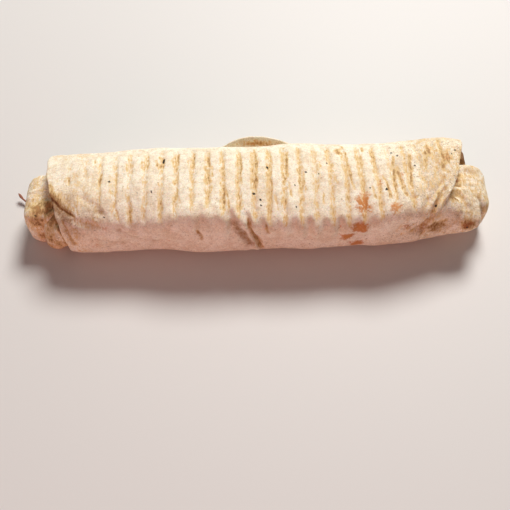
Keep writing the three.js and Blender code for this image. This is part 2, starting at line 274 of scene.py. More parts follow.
# A browned blister: its place, half length, half width round the roll, how brown it is and how leafy. A
# leafy one has twice this many rays.
LEAF_RAYS = 3.5
Blister = namedtuple("Blister", "x angle half_x half_arc brown leafy", defaults=(0.15,))
BLISTERS = (
    Blister(66.5, 133.5, 7.6, 8.6, 1.1, 0.85),
    Blister(64.4, 158, 8.4, 7.0, 1.15),
    Blister(57.3, 175.5, 5.8, 7.6, 1.25),
    Blister(65.0, 195, 6.0, 5.8, 1.1),
    Blister(86.8, 142, 5.0, 4.8, 0.9),
    Blister(78.3, 110, 3.2, 3.6, 0.62, 0.8),
    Blister(92.8, 102, 2.8, 4.6, 0.55, 0.6),
    Blister(53.6, 52, 3.8, 4.4, 0.25, 0.4),
    Blister(52.0, 157, 3.2, 2.4, 0.45),
    Blister(84.0, 36, 4.0, 3.0, 0.4, 0.5),
    Blister(92.5, 36, 4.4, 2.6, 0.4, 0.5),
    Blister(96.0, 166, 4.2, 6.0, 0.55, 0.5),
    Blister(111, 172, 7.5, 7.0, 0.5, 0.8),
    Blister(81.0, 168, 2.2, 4.4, 0.35),
    Blister(-99.5, 155, 3.6, 2.8, 0.5),
    Blister(-62.0, 178, 4.0, 4.0, 0.3, 0.5),
    Blister(-109, 182, 4.0, 4.0, 0.3, 0.5),
    Blister(-40.0, 166, 4.0, 3.4, 0.3, 0.5),
    Blister(113.5, 54, 3.4, 4.0, 0.4, 0.7),
    Blister(124.5, 70, 3.8, 6.0, 0.45, 0.7),
    Blister(132.0, 58, 3.6, 7.0, 0.35, 0.7),
    Blister(8.0, 15, 5.0, 4.0, 0.5),
    Blister(-92, 5, 6.0, 4.5, 0.6),
    Blister(-30, 350, 4.5, 3.5, 0.5),
    Blister(104, -4, 5.5, 4.5, 0.6),
)

# A charred speck: its place and radius.
Speck = namedtuple("Speck", "x angle radius")
SPECKS = (
    Speck(5.4, 77, 0.65),
    Speck(30.6, 89, 0.6),
    Speck(-3.9, 120, 0.75),
    Speck(0.3, 127, 0.6),
    Speck(0.5, 133, 0.5),
    Speck(45.0, 73, 0.5),
    Speck(-97.4, 95, 0.65),
    Speck(-62.7, 57, 0.65),
    Speck(-62.8, 59.5, 0.7),
    Speck(-62.9, 62, 0.6),
    Speck(103, 82, 0.5),
    Speck(82, 121, 0.7),
    Speck(71.5, 117, 0.5),
    Speck(92.3, 63, 0.6),
    Speck(89, 57, 0.5),
    Speck(23, 111, 0.45),
    Speck(23, 135, 0.5),
    Speck(39, 94, 0.4),
    Speck(113.8, 143, 0.7),
    Speck(131, 60, 0.5),
    Speck(128, 66, 0.45),
    Speck(126, 73, 0.35),
    Speck(-69.8, 113, 0.5),
    Speck(-79.2, 113, 0.4),
    Speck(-99.8, 143, 0.5),
)

# --- Small helpers ---


def mix(a, b, share):
    """a where the share is 0, b where it is 1."""
    return a + (b - a) * share


def smooth(value, ramp):
    """Climbs from 0 to 1 between the ends of a ramp, without a kink."""
    share = np.clip((value - ramp[0]) / (ramp[1] - ramp[0]), 0, 1)
    return share * share * (3 - 2 * share)


def between(value, rising, falling):
    """1 between a rising and a falling ramp, 0 outside them."""
    return smooth(value, rising) * (1 - smooth(value, falling))


def bump(offset, half_width):
    """1 at the middle, 0 at the half width and beyond."""
    share = np.minimum(1, np.abs(offset) / half_width)
    return (1 - share * share) ** 2


NOISE_CELLS = 32


def lumps(points, size, seed):
    """Smooth noise from -1 to 1 in space, with lumps of about the given size."""
    table = np.random.default_rng(seed).uniform(-1, 1, (NOISE_CELLS,) * 3)
    place = np.asarray(points) / size + NOISE_CELLS
    corner = np.floor(place).astype(int)
    share = place - corner
    share = share * share * (3 - 2 * share)
    total = 0
    for step in np.ndindex(2, 2, 2):
        at = (corner + step) % NOISE_CELLS
        weight = np.prod(np.where(step, share, 1 - share), axis=-1)
        total = total + weight * table[at[..., 0], at[..., 1], at[..., 2]]
    return total


def near_path(points, path, reach):
    """For points within reach of a path of straight stretches: which they are, how far from it, on which
    side of it (1 on its left, in the plane) and how far along it, from 0 to 1."""
    near = np.all((points > path.min(axis=0) - reach) & (points < path.max(axis=0) + reach), axis=-1)
    points = points[near]
    best = np.full(len(points), np.inf)
    along = np.zeros(len(points))
    side = np.ones(len(points))
    stretches = len(path) - 1
    for i in range(stretches):
        step = path[i + 1] - path[i]
        share = np.clip(((points - path[i]) @ step) / (step @ step), 0, 1)
        offset = points - path[i] - share[:, None] * step
        distance = np.linalg.norm(offset, axis=-1)
        nearer = distance < best
        best = np.where(nearer, distance, best)
        along = np.where(nearer, (i + share) / stretches, along)
        side = np.where(nearer, np.sign(step[0] * offset[:, 1] - step[1] * offset[:, 0]), side)
    return near, best, side, along


# --- The pressed roll ---


def towards_ends(x, fall):
    """How far something has dropped or narrowed at a place, gently at first and then faster."""
    return fall.fall * ((x - fall.middle) / fall.reach) ** 4


def swelling(x, swell):
    """How far a side stands out where it swells and shrinks."""
    return swell.rise * np.cos(2 * np.pi * (x - swell.crest) / swell.pitch)


def bulging(x, bulge):
    """How far a single bulge stands out at a place."""
    return bulge.rise * bump(x - bulge.x, bulge.half_length)


def roll_middle(x):
    """The y and z of the section's middle."""
    return LEAN_Y + LEAN_SLOPE * x, (HEIGHT - towards_ends(x, END_DROP)) / 2


def squareness(x):
    """1 where the pressed top has a sharp front edge, 0 where it is round."""
    return smooth(x, LEFT_ROUND_TO_SQUARE) * smooth(x, RIGHT_ROUND_TO_SQUARE)


def roll_point(x, angle, out=0.0):
    """The y and z of the roll's surface, moved out along its normal."""
    front = HALF_WIDTH - towards_ends(x, FRONT_NARROWING) + swelling(x, FRONT_SWELL)
    front = front + bulging(x, FRONT_WAIST) - FRONT_TAPER_FALL * smooth(x, FRONT_TAPER)
    back = HALF_WIDTH - towards_ends(x, BACK_NARROWING) + swelling(x, BACK_SWELL)
    middle_y, half = roll_middle(x)
    c = np.cos(np.radians(angle))
    s = np.sin(np.radians(angle))
    width = np.where(c > 0, back, front)
    front_power = mix(ROUND_FRONT_POWER, FRONT_POWER, squareness(x))
    power = np.where((c < 0) & (s > 0), front_power, POWER)
    reach = (np.abs(c / width) ** power + np.abs(s / half) ** power) ** (-1 / power)
    normal_y = np.sign(c) * np.abs(reach * c / width) ** (power - 1) / width
    normal_z = np.sign(s) * np.abs(reach * s / half) ** (power - 1) / half
    length = np.hypot(normal_y, normal_z)
    return middle_y + reach * c + normal_y / length * out, half + reach * s + normal_z / length * out


def on_roll(x, angle, out=0.0):
    """A place on the roll's surface, or moved out from it, as a point in space."""
    y, z = roll_point(np.asarray(x, float), np.asarray(angle, float), out)
    return np.stack([np.broadcast_to(x, y.shape), y, z], axis=-1)


def flat(x, angle):
    """A place on the roll, rolled out flat: its x and its length round the middle section."""
    return np.stack(np.broadcast_arrays(np.asarray(x, float), arc(angle)), axis=-1)


ARC_ANGLES = np.arange(-90, 361, 0.5)
ARC_LENGTHS = np.concatenate([[0], np.cumsum(np.hypot(*np.diff(roll_point(0.0, ARC_ANGLES))))])


def arc(angle):
    """The length round the middle section up to an angle."""
    return np.interp(angle, ARC_ANGLES, ARC_LENGTHS)


def even_angles(start, end, spacing):
    """Angles from start to just before end, evenly spaced in millimetres round the roll."""
    count = max(1, round((arc(end) - arc(start)) / spacing))
    lengths = np.linspace(arc(start), arc(end), count, endpoint=False)
    return np.interp(lengths, ARC_LENGTHS, ARC_ANGLES)


def seam_angle(x):
    """Where the sheet's end lies on the roll."""
    return SEAM_ANGLE - SEAM_DROP * (x / SEAM_REACH) ** 2


def winding(x, angle, sheet):
    """The sheet winds outwards by its own thickness over one turn."""
    turned = np.where(angle > seam_angle(x), angle - 360, angle)
    return sheet * (turned + 360 - seam_angle(x)) / 360


def edge_x(edge, angle):
    """Where a side edge of the outer turn lies. Torn bread is never quite straight."""
    plain = edge.x + edge.slant * np.cos(np.radians(angle - edge.angle))
    turned = (np.asarray(angle) + 180) % 360 - 180
    for tongue in edge.tongues:
        plain = plain + edge.side * tongue.rise * bump(turned - tongue.angle, tongue.half_turn)
    place = np.stack(np.broadcast_arrays(arc(angle), 0.0, EDGE_APART * edge.side), axis=-1)
    return plain + 0.7 * lumps(place, 9, 11) + 0.35 * lumps(place, 3.5, 12)


# --- Grooves ---

# Where the middle groove lies, and between which angles the grooves set in at the back and end at the
# front, where they are counted from the front edge.
GROOVE_MIDDLE = -3.9
GROOVE_BACK = Ramp(36, 52)
GROOVE_FRONT = Ramp(-10, 3)

# The crests between the grooves roll over the front edge: how far down, between which angles past it, and
# between which places along the wrap.
CREST_DROP = 2.1
CREST_FALL = Ramp(-14, -3)
CREST_FADE = Ramp(4, 34)
CREST_LEFT = Ramp(-68, -38)
CREST_RIGHT = Ramp(60, 84)

# The front edge is a raised ridge.
EDGE_HALF_TURN = 16
EDGE_RIDGE = 2.0

# The front edge's angle, and how far it turns where along the wrap.
FRONT_EDGE = 149.5
FRONT_EDGE_DIP = Bulge(-8, -40, 26)
FRONT_EDGE_TURNS = ((4.5, Ramp(-14, 4)), (2, Ramp(25, 50)), (-7, Ramp(66, 88)))

# Towards the right end the grooves slant: how far, in how many degrees, about which angle and from where.
SLANT = 1.6
SLANT_TURN = 50
SLANT_ANGLE = 88
SLANT_RAMP = Ramp(25, 105)

# How far a groove strays from its even place, how much further at the right, and how much it winds.
STRAY = 0.7
RIGHT_STRAY = 1.2
RIGHT_RIBS = Ramp(40, 110)
GROOVE_WANDER = 0.45
FAINT_LEFT = Ramp(-118, -102)  # left of this the grooves are faint

# Ribs pressed hardest round a middle one, and again at the right. Left of the first even rib they left
# patches near the back and near the front as well, and left of the first rib nothing but those.
MIDDLE_RIB = -0.5
MIDDLE_RIBS = 6.5
HARD_RIB = 9
HARD_RIBS = 4.0
FIRST_RIB = -10
FIRST_EVEN_RIB = -4
BACK_PATCH = 63
FRONT_PATCH = 131


def front_edge(x):
    """The angle at which the pressed top turns down into the front side."""
    edge = FRONT_EDGE + bulging(x, FRONT_EDGE_DIP)
    for turn, ramp in FRONT_EDGE_TURNS:
        edge = edge + turn * smooth(x, ramp)
    return edge


def rib_share(rib, seed):
    """A value from 0 to 1 that is the rib's own."""
    return np.random.default_rng(seed).uniform(0, 1, RIBS + 8)[rib + RIBS // 2 + 4]


def rib_places(x, angle, sizes):
    """For each place: the nearest rib, and how far right of its middle the place is."""
    pitch = sizes.rib_pitch / MM
    lean = SLANT * smooth(x, SLANT_RAMP) * (angle - SLANT_ANGLE) / SLANT_TURN
    rib = np.round((x - lean - GROOVE_MIDDLE) / pitch).astype(int)
    rib = np.clip(rib, -(RIBS // 2), RIBS // 2)
    wander = GROOVE_WANDER * lumps(np.stack([rib * 7.3, arc(angle) / 14, rib * 3.1], axis=-1), 1, 21)
    own = (rib_share(rib, 22) - 0.5) * (STRAY + RIGHT_STRAY * smooth(x, RIGHT_RIBS))
    return rib, x - lean - wander - own - GROOVE_MIDDLE - rib * pitch


def rib_pressure(rib, angle):
    """How hard a rib pressed and toasted the sheet: evenly, and in patches."""
    middle = np.exp(-(((rib - MIDDLE_RIB) / MIDDLE_RIBS) ** 2))
    right = 0.55 * np.exp(-(((rib - HARD_RIB) / HARD_RIBS) ** 2))
    even = np.clip(0.2 + middle + right, 0, 1) * (0.75 + 0.5 * rib_share(rib, 23))
    even = even * np.where(rib < FIRST_RIB, 0, 1)
    near_back = bump(angle - BACK_PATCH, 22) * (0.5 + 0.6 * rib_share(rib, 24))
    near_front = bump(angle - FRONT_PATCH, 20) * (0.25 + 0.6 * rib_share(rib, 25))
    patches = np.where(rib < FIRST_EVEN_RIB, 0.9 * near_back + 0.8 * near_front, 0)
    return np.clip(even, 0, 1.1), np.clip(patches, 0, 1)


def crest_shape(x, offset):
    """1 on a crest, 0 in a groove. No two crests roll over equally far."""
    shape = 0.5 - 0.5 * np.cos(2 * np.pi * offset)
    varied = 0.8 + 0.9 * lumps(np.stack([x, 0 * x, 0 * x + 40], axis=-1), 8.5, 26)
    return shape * np.clip(varied, 0.2, 1.5) * smooth(x, CREST_LEFT) * (1 - smooth(x, CREST_RIGHT))


def grooves(x, angle, sizes):
    """Depth of the grooves, and how toasted they are."""
    rib, offset = rib_places(x, angle, sizes)
    even, patches = rib_pressure(rib, angle)
    past_edge = angle - front_edge(x)
    on_top = smooth(angle, GROOVE_BACK) * (1 - smooth(past_edge, GROOVE_FRONT))
    half = sizes.groove_width / MM / 2
    floor = 1 - smooth(np.abs(offset), (0.1 * half, 1.15 * half))
    pressed = np.clip(0.45 + 0.55 * even + 0.3 * patches, 0, 1) * mix(0.3, 1, smooth(x, FAINT_LEFT))
    depth = sizes.groove_depth / MM * floor * on_top * pressed
    rolled_over = between(past_edge, CREST_FALL, CREST_FADE)
    depth = depth + CREST_DROP * crest_shape(x, offset / (sizes.rib_pitch / MM)) * rolled_over
    return depth, floor * on_top * (0.58 * even + 0.34 * patches)


# --- Relief and toasting of the outer turn ---

CREASE_SPREAD = 1.6  # how far out a crease or a line fades to nothing, in half widths
LINE_SPREAD = 1.5
STEP_REACH = 7.0  # how far from a crease the bread beside it stays lower
WANDER = 0.45  # how far what is drawn on the bread strays from its path
GATHER_COS, GATHER_SIN = 0.85, 0.53  # of the slope of the wrinkles over the right end
GATHERED = Ramp(98, 122)
GATHERED_TURN = Ramp(60, 110)


def wandering(points):
    """Nudges places a little, so that nothing drawn on them runs dead straight."""
    deep = np.zeros(points.shape[:-1])
    planar = np.stack([points[..., 0], points[..., 1], deep], axis=-1) if points.shape[-1] == 2 else points
    nudges = [WANDER * lumps(planar, 5.5, 27 + i) for i in range(points.shape[-1])]
    return points + np.stack(nudges, axis=-1)


def crease_marks(points, creases):
    """Depth, toasting and painted shade that a set of creases gives at each point."""
    depth, toast, dusk = np.zeros((3, *points.shape[:-1]))
    for crease, path in creases:
        width = CREASE_SPREAD * crease.width
        near, distance, side, along = near_path(points, path, 3 * STEP_REACH if crease.step else width)
        fade = np.clip(6 * along, 0.15, 1) * np.clip(6 * (1 - along), 0.1, 1)
        mark = bump(distance, width) * fade
        lowered = smooth(side * distance, (-0.7, 0.7)) * np.exp(-distance / STEP_REACH) * (1 - along)
        depth[near] += crease.depth * mark + crease.step * lowered
        toast[near] = np.maximum(toast[near], crease.toast * mark)
        dusk[near] = np.maximum(dusk[near], crease.dusk * mark)
    return depth, toast, dusk


def roll_creases():
    """The outer turn's creases, with their paths rolled out flat."""
    return [(crease, flat(*np.transpose(crease.path))) for crease in OUTER_CREASES]


def unevenness(points, amount):
    """Soft bumps of bread over a lumpy filling, at several scales."""
    coarse = 0.8 * lumps(points, 26, 31) + 0.42 * lumps(points, 11, 32)
    fine = 0.18 * lumps(points, 5.2, 33) + 0.08 * lumps(points, 2.6, 34)
    return amount * (coarse + fine)


def right_wrinkles(x, angle):
    """Small ridges over the gathered right end, running down from the tucked corner."""
    across = GATHER_COS * x + GATHER_SIN * arc(angle)
    along = -GATHER_SIN * x + GATHER_COS * arc(angle)
    place = np.stack([across / 3.2, along / 13, np.zeros_like(across)], axis=-1)
    ridges = 1 - 2 * np.abs(lumps(place, 1, 41))
    return 0.45 * ridges * smooth(x, GATHERED) * smooth(angle, GATHERED_TURN)


def toasted_lines(places):
    """Dents and toasting of the thin lines along the grooves."""
    dent = np.zeros(places.shape[:-1])
    toast = np.zeros(places.shape[:-1])
    for line in TOASTED_LINES:
        width = LINE_SPREAD * line.width
        near, distance, _, along = near_path(places, flat(*np.transpose(line.path)), width)
        fade = np.sqrt(np.clip(5 * along, 0, 1) * np.clip(5 * (1 - along), 0, 1))
        mark = bump(distance, width) * fade
        dent[near] = np.maximum(dent[near], line.dent * mark)
        toast[near] = np.maximum(toast[near], line.toast * mark)
    return dent, toast


def corner_lift(x, angle):
    """How far the outer turn stands off at its lifted corner."""
    return bulging(x, LIFTED_CORNER) * bump(angle - LIFTED_ANGLE, LIFTED_HALF_TURN)


def outer_relief(x, angle, sizes):
    """How far the outer turn stands off the plain roll, how toasted it is and how much painted shade it
    gets.
    """
    points = on_roll(x, angle)
    groove_depth, groove_toast = grooves(x, angle, sizes)
    places = wandering(flat(x, angle))
    crease_depth, crease_toast, dusk = crease_marks(places, roll_creases())
    dent, line_toast = toasted_lines(places)
    bread = unevenness(points, sizes.unevenness) * np.clip(points[..., 2] / 8, 0.15, 1)
    out = winding(x, angle, sizes.sheet / MM) + bread + right_wrinkles(x, angle) + corner_lift(x, angle)
    out = out + EDGE_RIDGE * bump(angle - front_edge(x), EDGE_HALF_TURN) * squareness(x)
    toast = np.maximum(groove_toast, np.maximum(crease_toast, line_toast))
    dusk = np.maximum(dusk, shade_mask(x, angle))
    dusk = np.maximum(dusk, BACK_DUSK * (1 - smooth(angle, BACK_DUSK_END)))
    return out - groove_depth - crease_depth - dent, np.clip(toast, 0, 1), dusk


def shade_mask(x, angle):
    """The soft areas of painted shade."""
    dusk = np.zeros_like(x)
    for shade in SHADES:
        distance = np.hypot((x - shade.x) / shade.half_x, (arc(angle) - arc(shade.angle)) / shade.half_arc)
        dusk = np.maximum(dusk, shade.strength * bump(distance, 1))
    return dusk


def blister_mask(x, angle):
    """Browned blisters. The leafy ones have rays, which fan out from a place near their lower edge."""
    brown = np.zeros_like(x)
    points = on_roll(x, angle)
    ragged_x = 1.3 * lumps(points, 4.2, 35) + 0.3 * lumps(points, 1.9, 36)
    ragged_arc = 1.3 * lumps(points, 4.2, 37) + 0.3 * lumps(points, 1.9, 38)
    wavy = 1.2 * lumps(points, 2.6, 39)
    for blister in BLISTERS:
        across = (x + ragged_x - blister.x) / blister.half_x
        round_it = (arc(angle) + ragged_arc - arc(blister.angle)) / blister.half_arc
        distance = np.hypot(across, round_it)
        rays = np.abs(np.sin(LEAF_RAYS * np.arctan2(round_it - 0.45, across - 0.15) + wavy))
        spot = (1 - smooth(distance, (0.25, 1.2))) * (1 - blister.leafy * (1 - smooth(rays, (0.1, 0.7))))
        brown = np.maximum(brown, blister.brown * spot)
    return brown


def speck_mask(x, angle):
    """The charred specks."""
    char = np.zeros_like(x)
    for speck in SPECKS:
        distance = np.hypot(x - speck.x, arc(angle) - arc(speck.angle))
        char = np.maximum(char, 1 - smooth(distance, (0.75 * speck.radius, 1.45 * speck.radius)))
    return char


# --- Meshes ---


def linked(name, data):
    """A new object in the scene."""
    made = bpy.data.objects.new(name, data)
    bpy.context.scene.collection.objects.link(made)
    return made


def closed_mesh(name, rings, masks, material):
    """Joins a row of equal rings into one closed, smooth mesh, and keeps its masks for the material."""
    rings = np.asarray(rings, float)
    if not np.isfinite(rings).all():
        raise ValueError(f"These sizes give {name} points that lie nowhere.")
    count, size, _ = rings.shape
    ends = np.array([rings[0].mean(axis=0), rings[-1].mean(axis=0)])
    points = np.concatenate([rings.reshape(-1, 3), ends]) * MM
    first = np.arange(count - 1)[:, None] * size
    near = np.arange(size)[None, :]
    far = (near + 1) % size
    quads = np.stack([first + near, first + far, first + size + far, first + size + near], axis=-1)
    near, far = near[0], far[0]
    last = (count - 1) * size
    left_fan = [(count * size, b, a) for a, b in zip(near, far)]
    right_fan = [(count * size + 1, last + a, last + b) for a, b in zip(near, far)]
    mesh = bpy.data.meshes.new(name)
    mesh.from_pydata(points.tolist(), [], quads.reshape(-1, 4).tolist() + left_fan + right_fan)
    for mask, values in masks.items():
        full = np.append(np.broadcast_to(np.asarray(values, float), (count, size)), [0, 0])
        mesh.attributes.new(mask, "FLOAT", "POINT").data.foreach_set("value", full)
    mesh.shade_smooth()
    mesh.materials.append(material)
    return linked(name, mesh)


def above_floor(rings):
    """Lifts whatever would lie lower than the wrap's underside."""
    rings[..., 2] = np.maximum(rings[..., 2], 0)
    return rings


def carried(piece):
    """Every piece of the wrap moves with the one body, and stands for the solid."""
    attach(piece, BODY)
    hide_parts(NODE)


def grid_normals(rings):
    """Outward normals of a row of rings."""
    along = np.gradient(rings, axis=0)
    round_it = (np.roll(rings, -1, axis=1) - np.roll(rings, 1, axis=1)) / 2
    normals = np.cross(round_it, along)
    return normals / np.maximum(np.linalg.norm(normals, axis=-1, keepdims=True), 1e-9)


# --- An open end of a turn ---

RIM_STEPS = 6
WALL_STEPS = 5
WALL_SAG = 4
FLOOR_SHARES = (0.93, 0.82, 0.68, 0.52, 0.36, 0.2)
PLEATS = 13


def mouth(edge, rim_x, angle, out, sheet, depth, dome):
    """Rings over a turn's rim, down the wall inside it and across a domed, pleated floor."""
    radius = sheet / 2
    rings = []
    for turn in np.linspace(0, np.pi, RIM_STEPS + 1)[1:]:
        x = rim_x - edge.side * radius * (1 - np.sin(turn))
        rings.append(on_roll(x, angle, out - radius * (1 - np.cos(turn))))
    for share in np.linspace(0, 1, WALL_STEPS + 1)[1:]:
        x = rim_x - edge.side * mix(radius, depth, share)
        rings.append(on_roll(x, angle, out - sheet - WALL_SAG * share))
    wall = rings[-1]
    middle_y, middle_z = roll_middle(wall[:, 0])
    gathers = np.cos(np.radians(PLEATS * angle) + 2 * lumps(wall, 20, 51))
    for share in FLOOR_SHARES:
        rise = dome * (1 - share**2) + 1.3 * gathers * bump(share - 0.6, 0.45)
        x = wall[:, 0] + edge.side * rise
        y = mix(middle_y, wall[:, 1], share)
        z = mix(middle_z, wall[:, 2], share)
        rings.append(np.stack([x, y, z], axis=-1))
    return rings


# --- The outer turn and its loose tail ---

COLUMNS = 400
TAIL_OUTER = np.linspace(0, 1, 15)
TAIL_INNER = np.linspace(0, 1, 13)
TAIL_RIM_STEPS = np.linspace(0, np.pi, 6)[1:-1]
EVEN_START = 10
EVEN_END = 230
# From which angle to which the rows lie evenly, and how far apart.
EVEN_STRETCHES = ((EVEN_START, 160, 0.85), (160, 215, 1.1), (215, EVEN_END, 2.0))
BACK_ROWS = 26  # from the pocket to the even rows, and from them to the tail
MOUTH_DEPTH = 9
MOUTH_DOME = 1.5

# How toasted and how grainy both ends are, and from where on.
RIGHT_TOAST = 0.5
RIGHT_TOAST_RAMP = Ramp(92, 122)
LEFT_TOAST = 0.2
LEFT_TOAST_RAMP = Ramp(-112, -84)
RIGHT_COARSE = Ramp(70, 118)
LEFT_COARSE = 0.7
LEFT_COARSE_RAMP = Ramp(-128, -100)
LAP_ANGLE = 128

TAIL_HEIGHT = 14  # along its inner side, for its toasting
POCKET_TURN = (3, 12)  # from the seam to the tail's pocket: where the sheet lies flat, and at the tail

# Right of the pleat, and again further left, the front edge slumps forwards and down: how far in y and z,
# between which places along the wrap, and between which angles.
SLUMP = (-1.6, -2.2)
SLUMP_LEFT = Ramp(-14, 6)
SLUMP_RIGHT = Ramp(66, 92)
LEFT_SLUMP = Bulge(1.2, -76, 34)  # as a share of that
SLUMP_TOP = Ramp(96, 140)
SLUMP_FRONT = Ramp(160, 186)


def slumped(x, angle):
    """How far the front edge has slumped, as a step in space."""
    along = between(x, SLUMP_LEFT, SLUMP_RIGHT) + bulging(x, LEFT_SLUMP)
    share = along * smooth(angle, SLUMP_TOP) * (1 - smooth(angle, SLUMP_FRONT))
    return share[..., None] * np.array([0, *SLUMP])


def tail_share(x):
    """1 where the tail stands highest, 0 where the sheet's end lies flat on the roll."""
    share = np.minimum(1, np.abs(x) / TAIL_HALF_LENGTH)
    return (1 - share * share) ** TAIL_ROUNDNESS


def pocket_angle(x):
    """Where the tail's inner side meets the roll again."""
    return seam_angle(x) - mix(*POCKET_TURN, tail_share(x))


def bent(start, middle, end, share):
    """Points of a curve that starts towards its middle point and ends coming from it."""
    share = share[None, :, None]
    start, middle, end = start[:, None], middle[:, None], end[:, None]
    return (1 - share) ** 2 * start + 2 * share * (1 - share) * middle + share**2 * end


def tail_rows(x, seam, sheet):
    """The tail's section at each place: up its outer side, over the rim and down inside it."""

    def before_seam(turn, out):
        return np.stack(roll_point(x, seam - turn, out), axis=-1)

    share = tail_share(x)[:, None]
    waver = np.stack([0.5 * lumps(on_roll(x, 0), 9, 61), 0.9 * lumps(on_roll(x, 0), 12, 62)], axis=-1)
    root = before_seam(TAIL_TURN, sheet)
    rim = mix(before_seam(0, sheet), np.array(TAIL_RIM) + waver, share)
    standing_middle = np.stack([mix(root, rim, 0.8)[:, 0], mix(root, rim, 0.3)[:, 1]], axis=-1)
    belly = mix(before_seam(TAIL_TURN / 2, sheet), standing_middle, share)
    outer = bent(root, belly, rim, TAIL_OUTER)
    along = rim - belly
    along = along / np.linalg.norm(along, axis=-1, keepdims=True)
    inwards = np.stack([-along[:, 1], along[:, 0]], axis=-1)
    radius = sheet / 2
    over = [
        rim + inwards * radius * (1 - np.cos(turn)) + along * radius * np.sin(turn)
        for turn in TAIL_RIM_STEPS
    ]
    rim_inside = rim + inwards * sheet
    pocket = before_seam(mix(*POCKET_TURN, share[:, 0]), 0.0)
    hollow = mix(rim_inside, pocket, 0.5) - inwards * TAIL_BELLY * share
    inner = bent(rim_inside, hollow, pocket, TAIL_INNER)
    return np.concatenate([outer, np.stack(over, axis=1), inner], axis=1)


def tail_masks(x):
    """Toasting of the tail's rows: light outside, and inside in patches, away from the rim."""
    share = tail_share(x)[:, None]
    outside = np.zeros((len(x), len(TAIL_OUTER))) + 0.1 * share
    over = np.zeros((len(x), len(TAIL_RIM_STEPS)))
    place = np.stack(np.broadcast_arrays(x[:, None], TAIL_HEIGHT * TAIL_INNER[None, :], 5.0), axis=-1)
    patches = smooth(lumps(place, 5.5, 63) + 0.6 * lumps(place, 2.6, 64), (-0.1, 0.7))
    streak = 0.9 * bump(TAIL_INNER - 0.15, 0.12) * bump(x + 1, 19)[:, None]
    inside = smooth(share, (0, 0.3)) * (smooth(TAIL_INNER, (0.0, 0.1)) * (0.06 + 0.12 * patches) + streak)
    return np.concatenate([outside, over, inside], axis=1)


def tail_brown(x):
    """Inside, the tail has brown streaks that run along its rim."""
    clear = np.zeros((len(x), len(TAIL_OUTER) + len(TAIL_RIM_STEPS)))
    height = TAIL_HEIGHT * TAIL_INNER[None, :]
    place = np.stack(np.broadcast_arrays(x[:, None] / 7, height / 1.2, 9.0), axis=-1)
    streaks = smooth(lumps(place, 1, 65), (-0.1, 0.6))
    inside = smooth(tail_share(x)[:, None], (0.1, 0.5)) * smooth(TAIL_INNER, (0.02, 0.14))
    return np.concatenate([clear, inside * (0.12 + 0.4 * streaks)], axis=1)


def outer_turn(sizes, material):
    """The last turn of the sheet, with its tail: rings across the wrap, from one mouth to the other."""
    sheet = sizes.sheet / MM
    share = np.linspace(0, 1, COLUMNS)
    across = mix(edge_x(LEFT, 90.0), edge_x(RIGHT, 90.0), share)
    seam = seam_angle(across)
    even = np.concatenate([even_angles(*stretch) for stretch in EVEN_STRETCHES])
    start = pocket_angle(across) - 360
    below = mix(start[:, None], EVEN_START, np.linspace(0, 1, BACK_ROWS, endpoint=False)[None, 1:])
    above = mix(EVEN_END, (seam - TAIL_TURN)[:, None], np.linspace(0, 1, BACK_ROWS + 1)[None, :-1])
    angle = np.concatenate([below, np.broadcast_to(even, (COLUMNS, len(even))), above], axis=1)
    radius = sheet / 2
    left = edge_x(LEFT, angle) + radius
    right = edge_x(RIGHT, angle) - radius
    x = mix(left, right, share[:, None])
    out, toast, dusk = outer_relief(x, angle, sizes)
    roll = on_roll(x, angle, out) + slumped(x, angle)

    tail_x = mix(edge_x(LEFT, seam) + radius, edge_x(RIGHT, seam) - radius, share)
    tail = tail_rows(tail_x, seam, sheet)
    tail = np.concatenate([np.broadcast_to(tail_x[:, None, None], (*tail.shape[:2], 1)), tail], axis=-1)
    rings = above_floor(np.concatenate([roll, tail], axis=1))

    row_angles, row_outs = end_rows(angle, out, seam, sheet)
    left_mouth, right_mouth = (
        mouth(edge, edge_x(edge, angles), angles, outs, sheet, MOUTH_DEPTH, MOUTH_DOME)
        for edge, angles, outs in zip((LEFT, RIGHT), row_angles[[0, -1]], row_outs[[0, -1]])
    )
    all_rings = above_floor(np.concatenate([left_mouth[::-1], rings, right_mouth]))
    clear = np.zeros(tail.shape[:2])
    # Each mask on the roll, on its tail and inside the mouths.
    # Inside the mouths the bread is darkened partly as toasting and partly as painted shade of the recess.
    parts = {
        "brown": (blister_mask(x, angle), tail_brown(tail_x), 0),
        "char": (speck_mask(x, angle), clear, 0),
        "toast": (np.maximum(toast, end_toast(x, rings[:, : x.shape[1]])), tail_masks(tail_x), 0.8),
        "dusk": (dusk, clear, 0.3),
        "coarse": (coarseness(x, angle), clear, 0.3),
    }
    masks = {}
    for mask, (on_turn, on_tail, inside) in parts.items():
        values = np.concatenate([on_turn, on_tail], axis=1)
        masks[mask] = with_ends(values, len(left_mouth), len(right_mouth), inside)
    return closed_mesh("outer_turn", all_rings, masks, material)


def end_toast(x, points):
    """Mottled toasting over both ends."""
    ends = RIGHT_TOAST * smooth(x, RIGHT_TOAST_RAMP) + LEFT_TOAST * (1 - smooth(x, LEFT_TOAST_RAMP))
    return ends * (0.6 + 0.6 * lumps(points, 7, 29))


def coarseness(x, angle):
    """How grainy the bread is: most at the gathered right end, and beside the lap at the left end."""
    right = smooth(x, RIGHT_COARSE)
    left = LEFT_COARSE * (1 - smooth(x, LEFT_COARSE_RAMP)) * bump(angle - LAP_ANGLE, 50)
    return np.maximum(right, left)


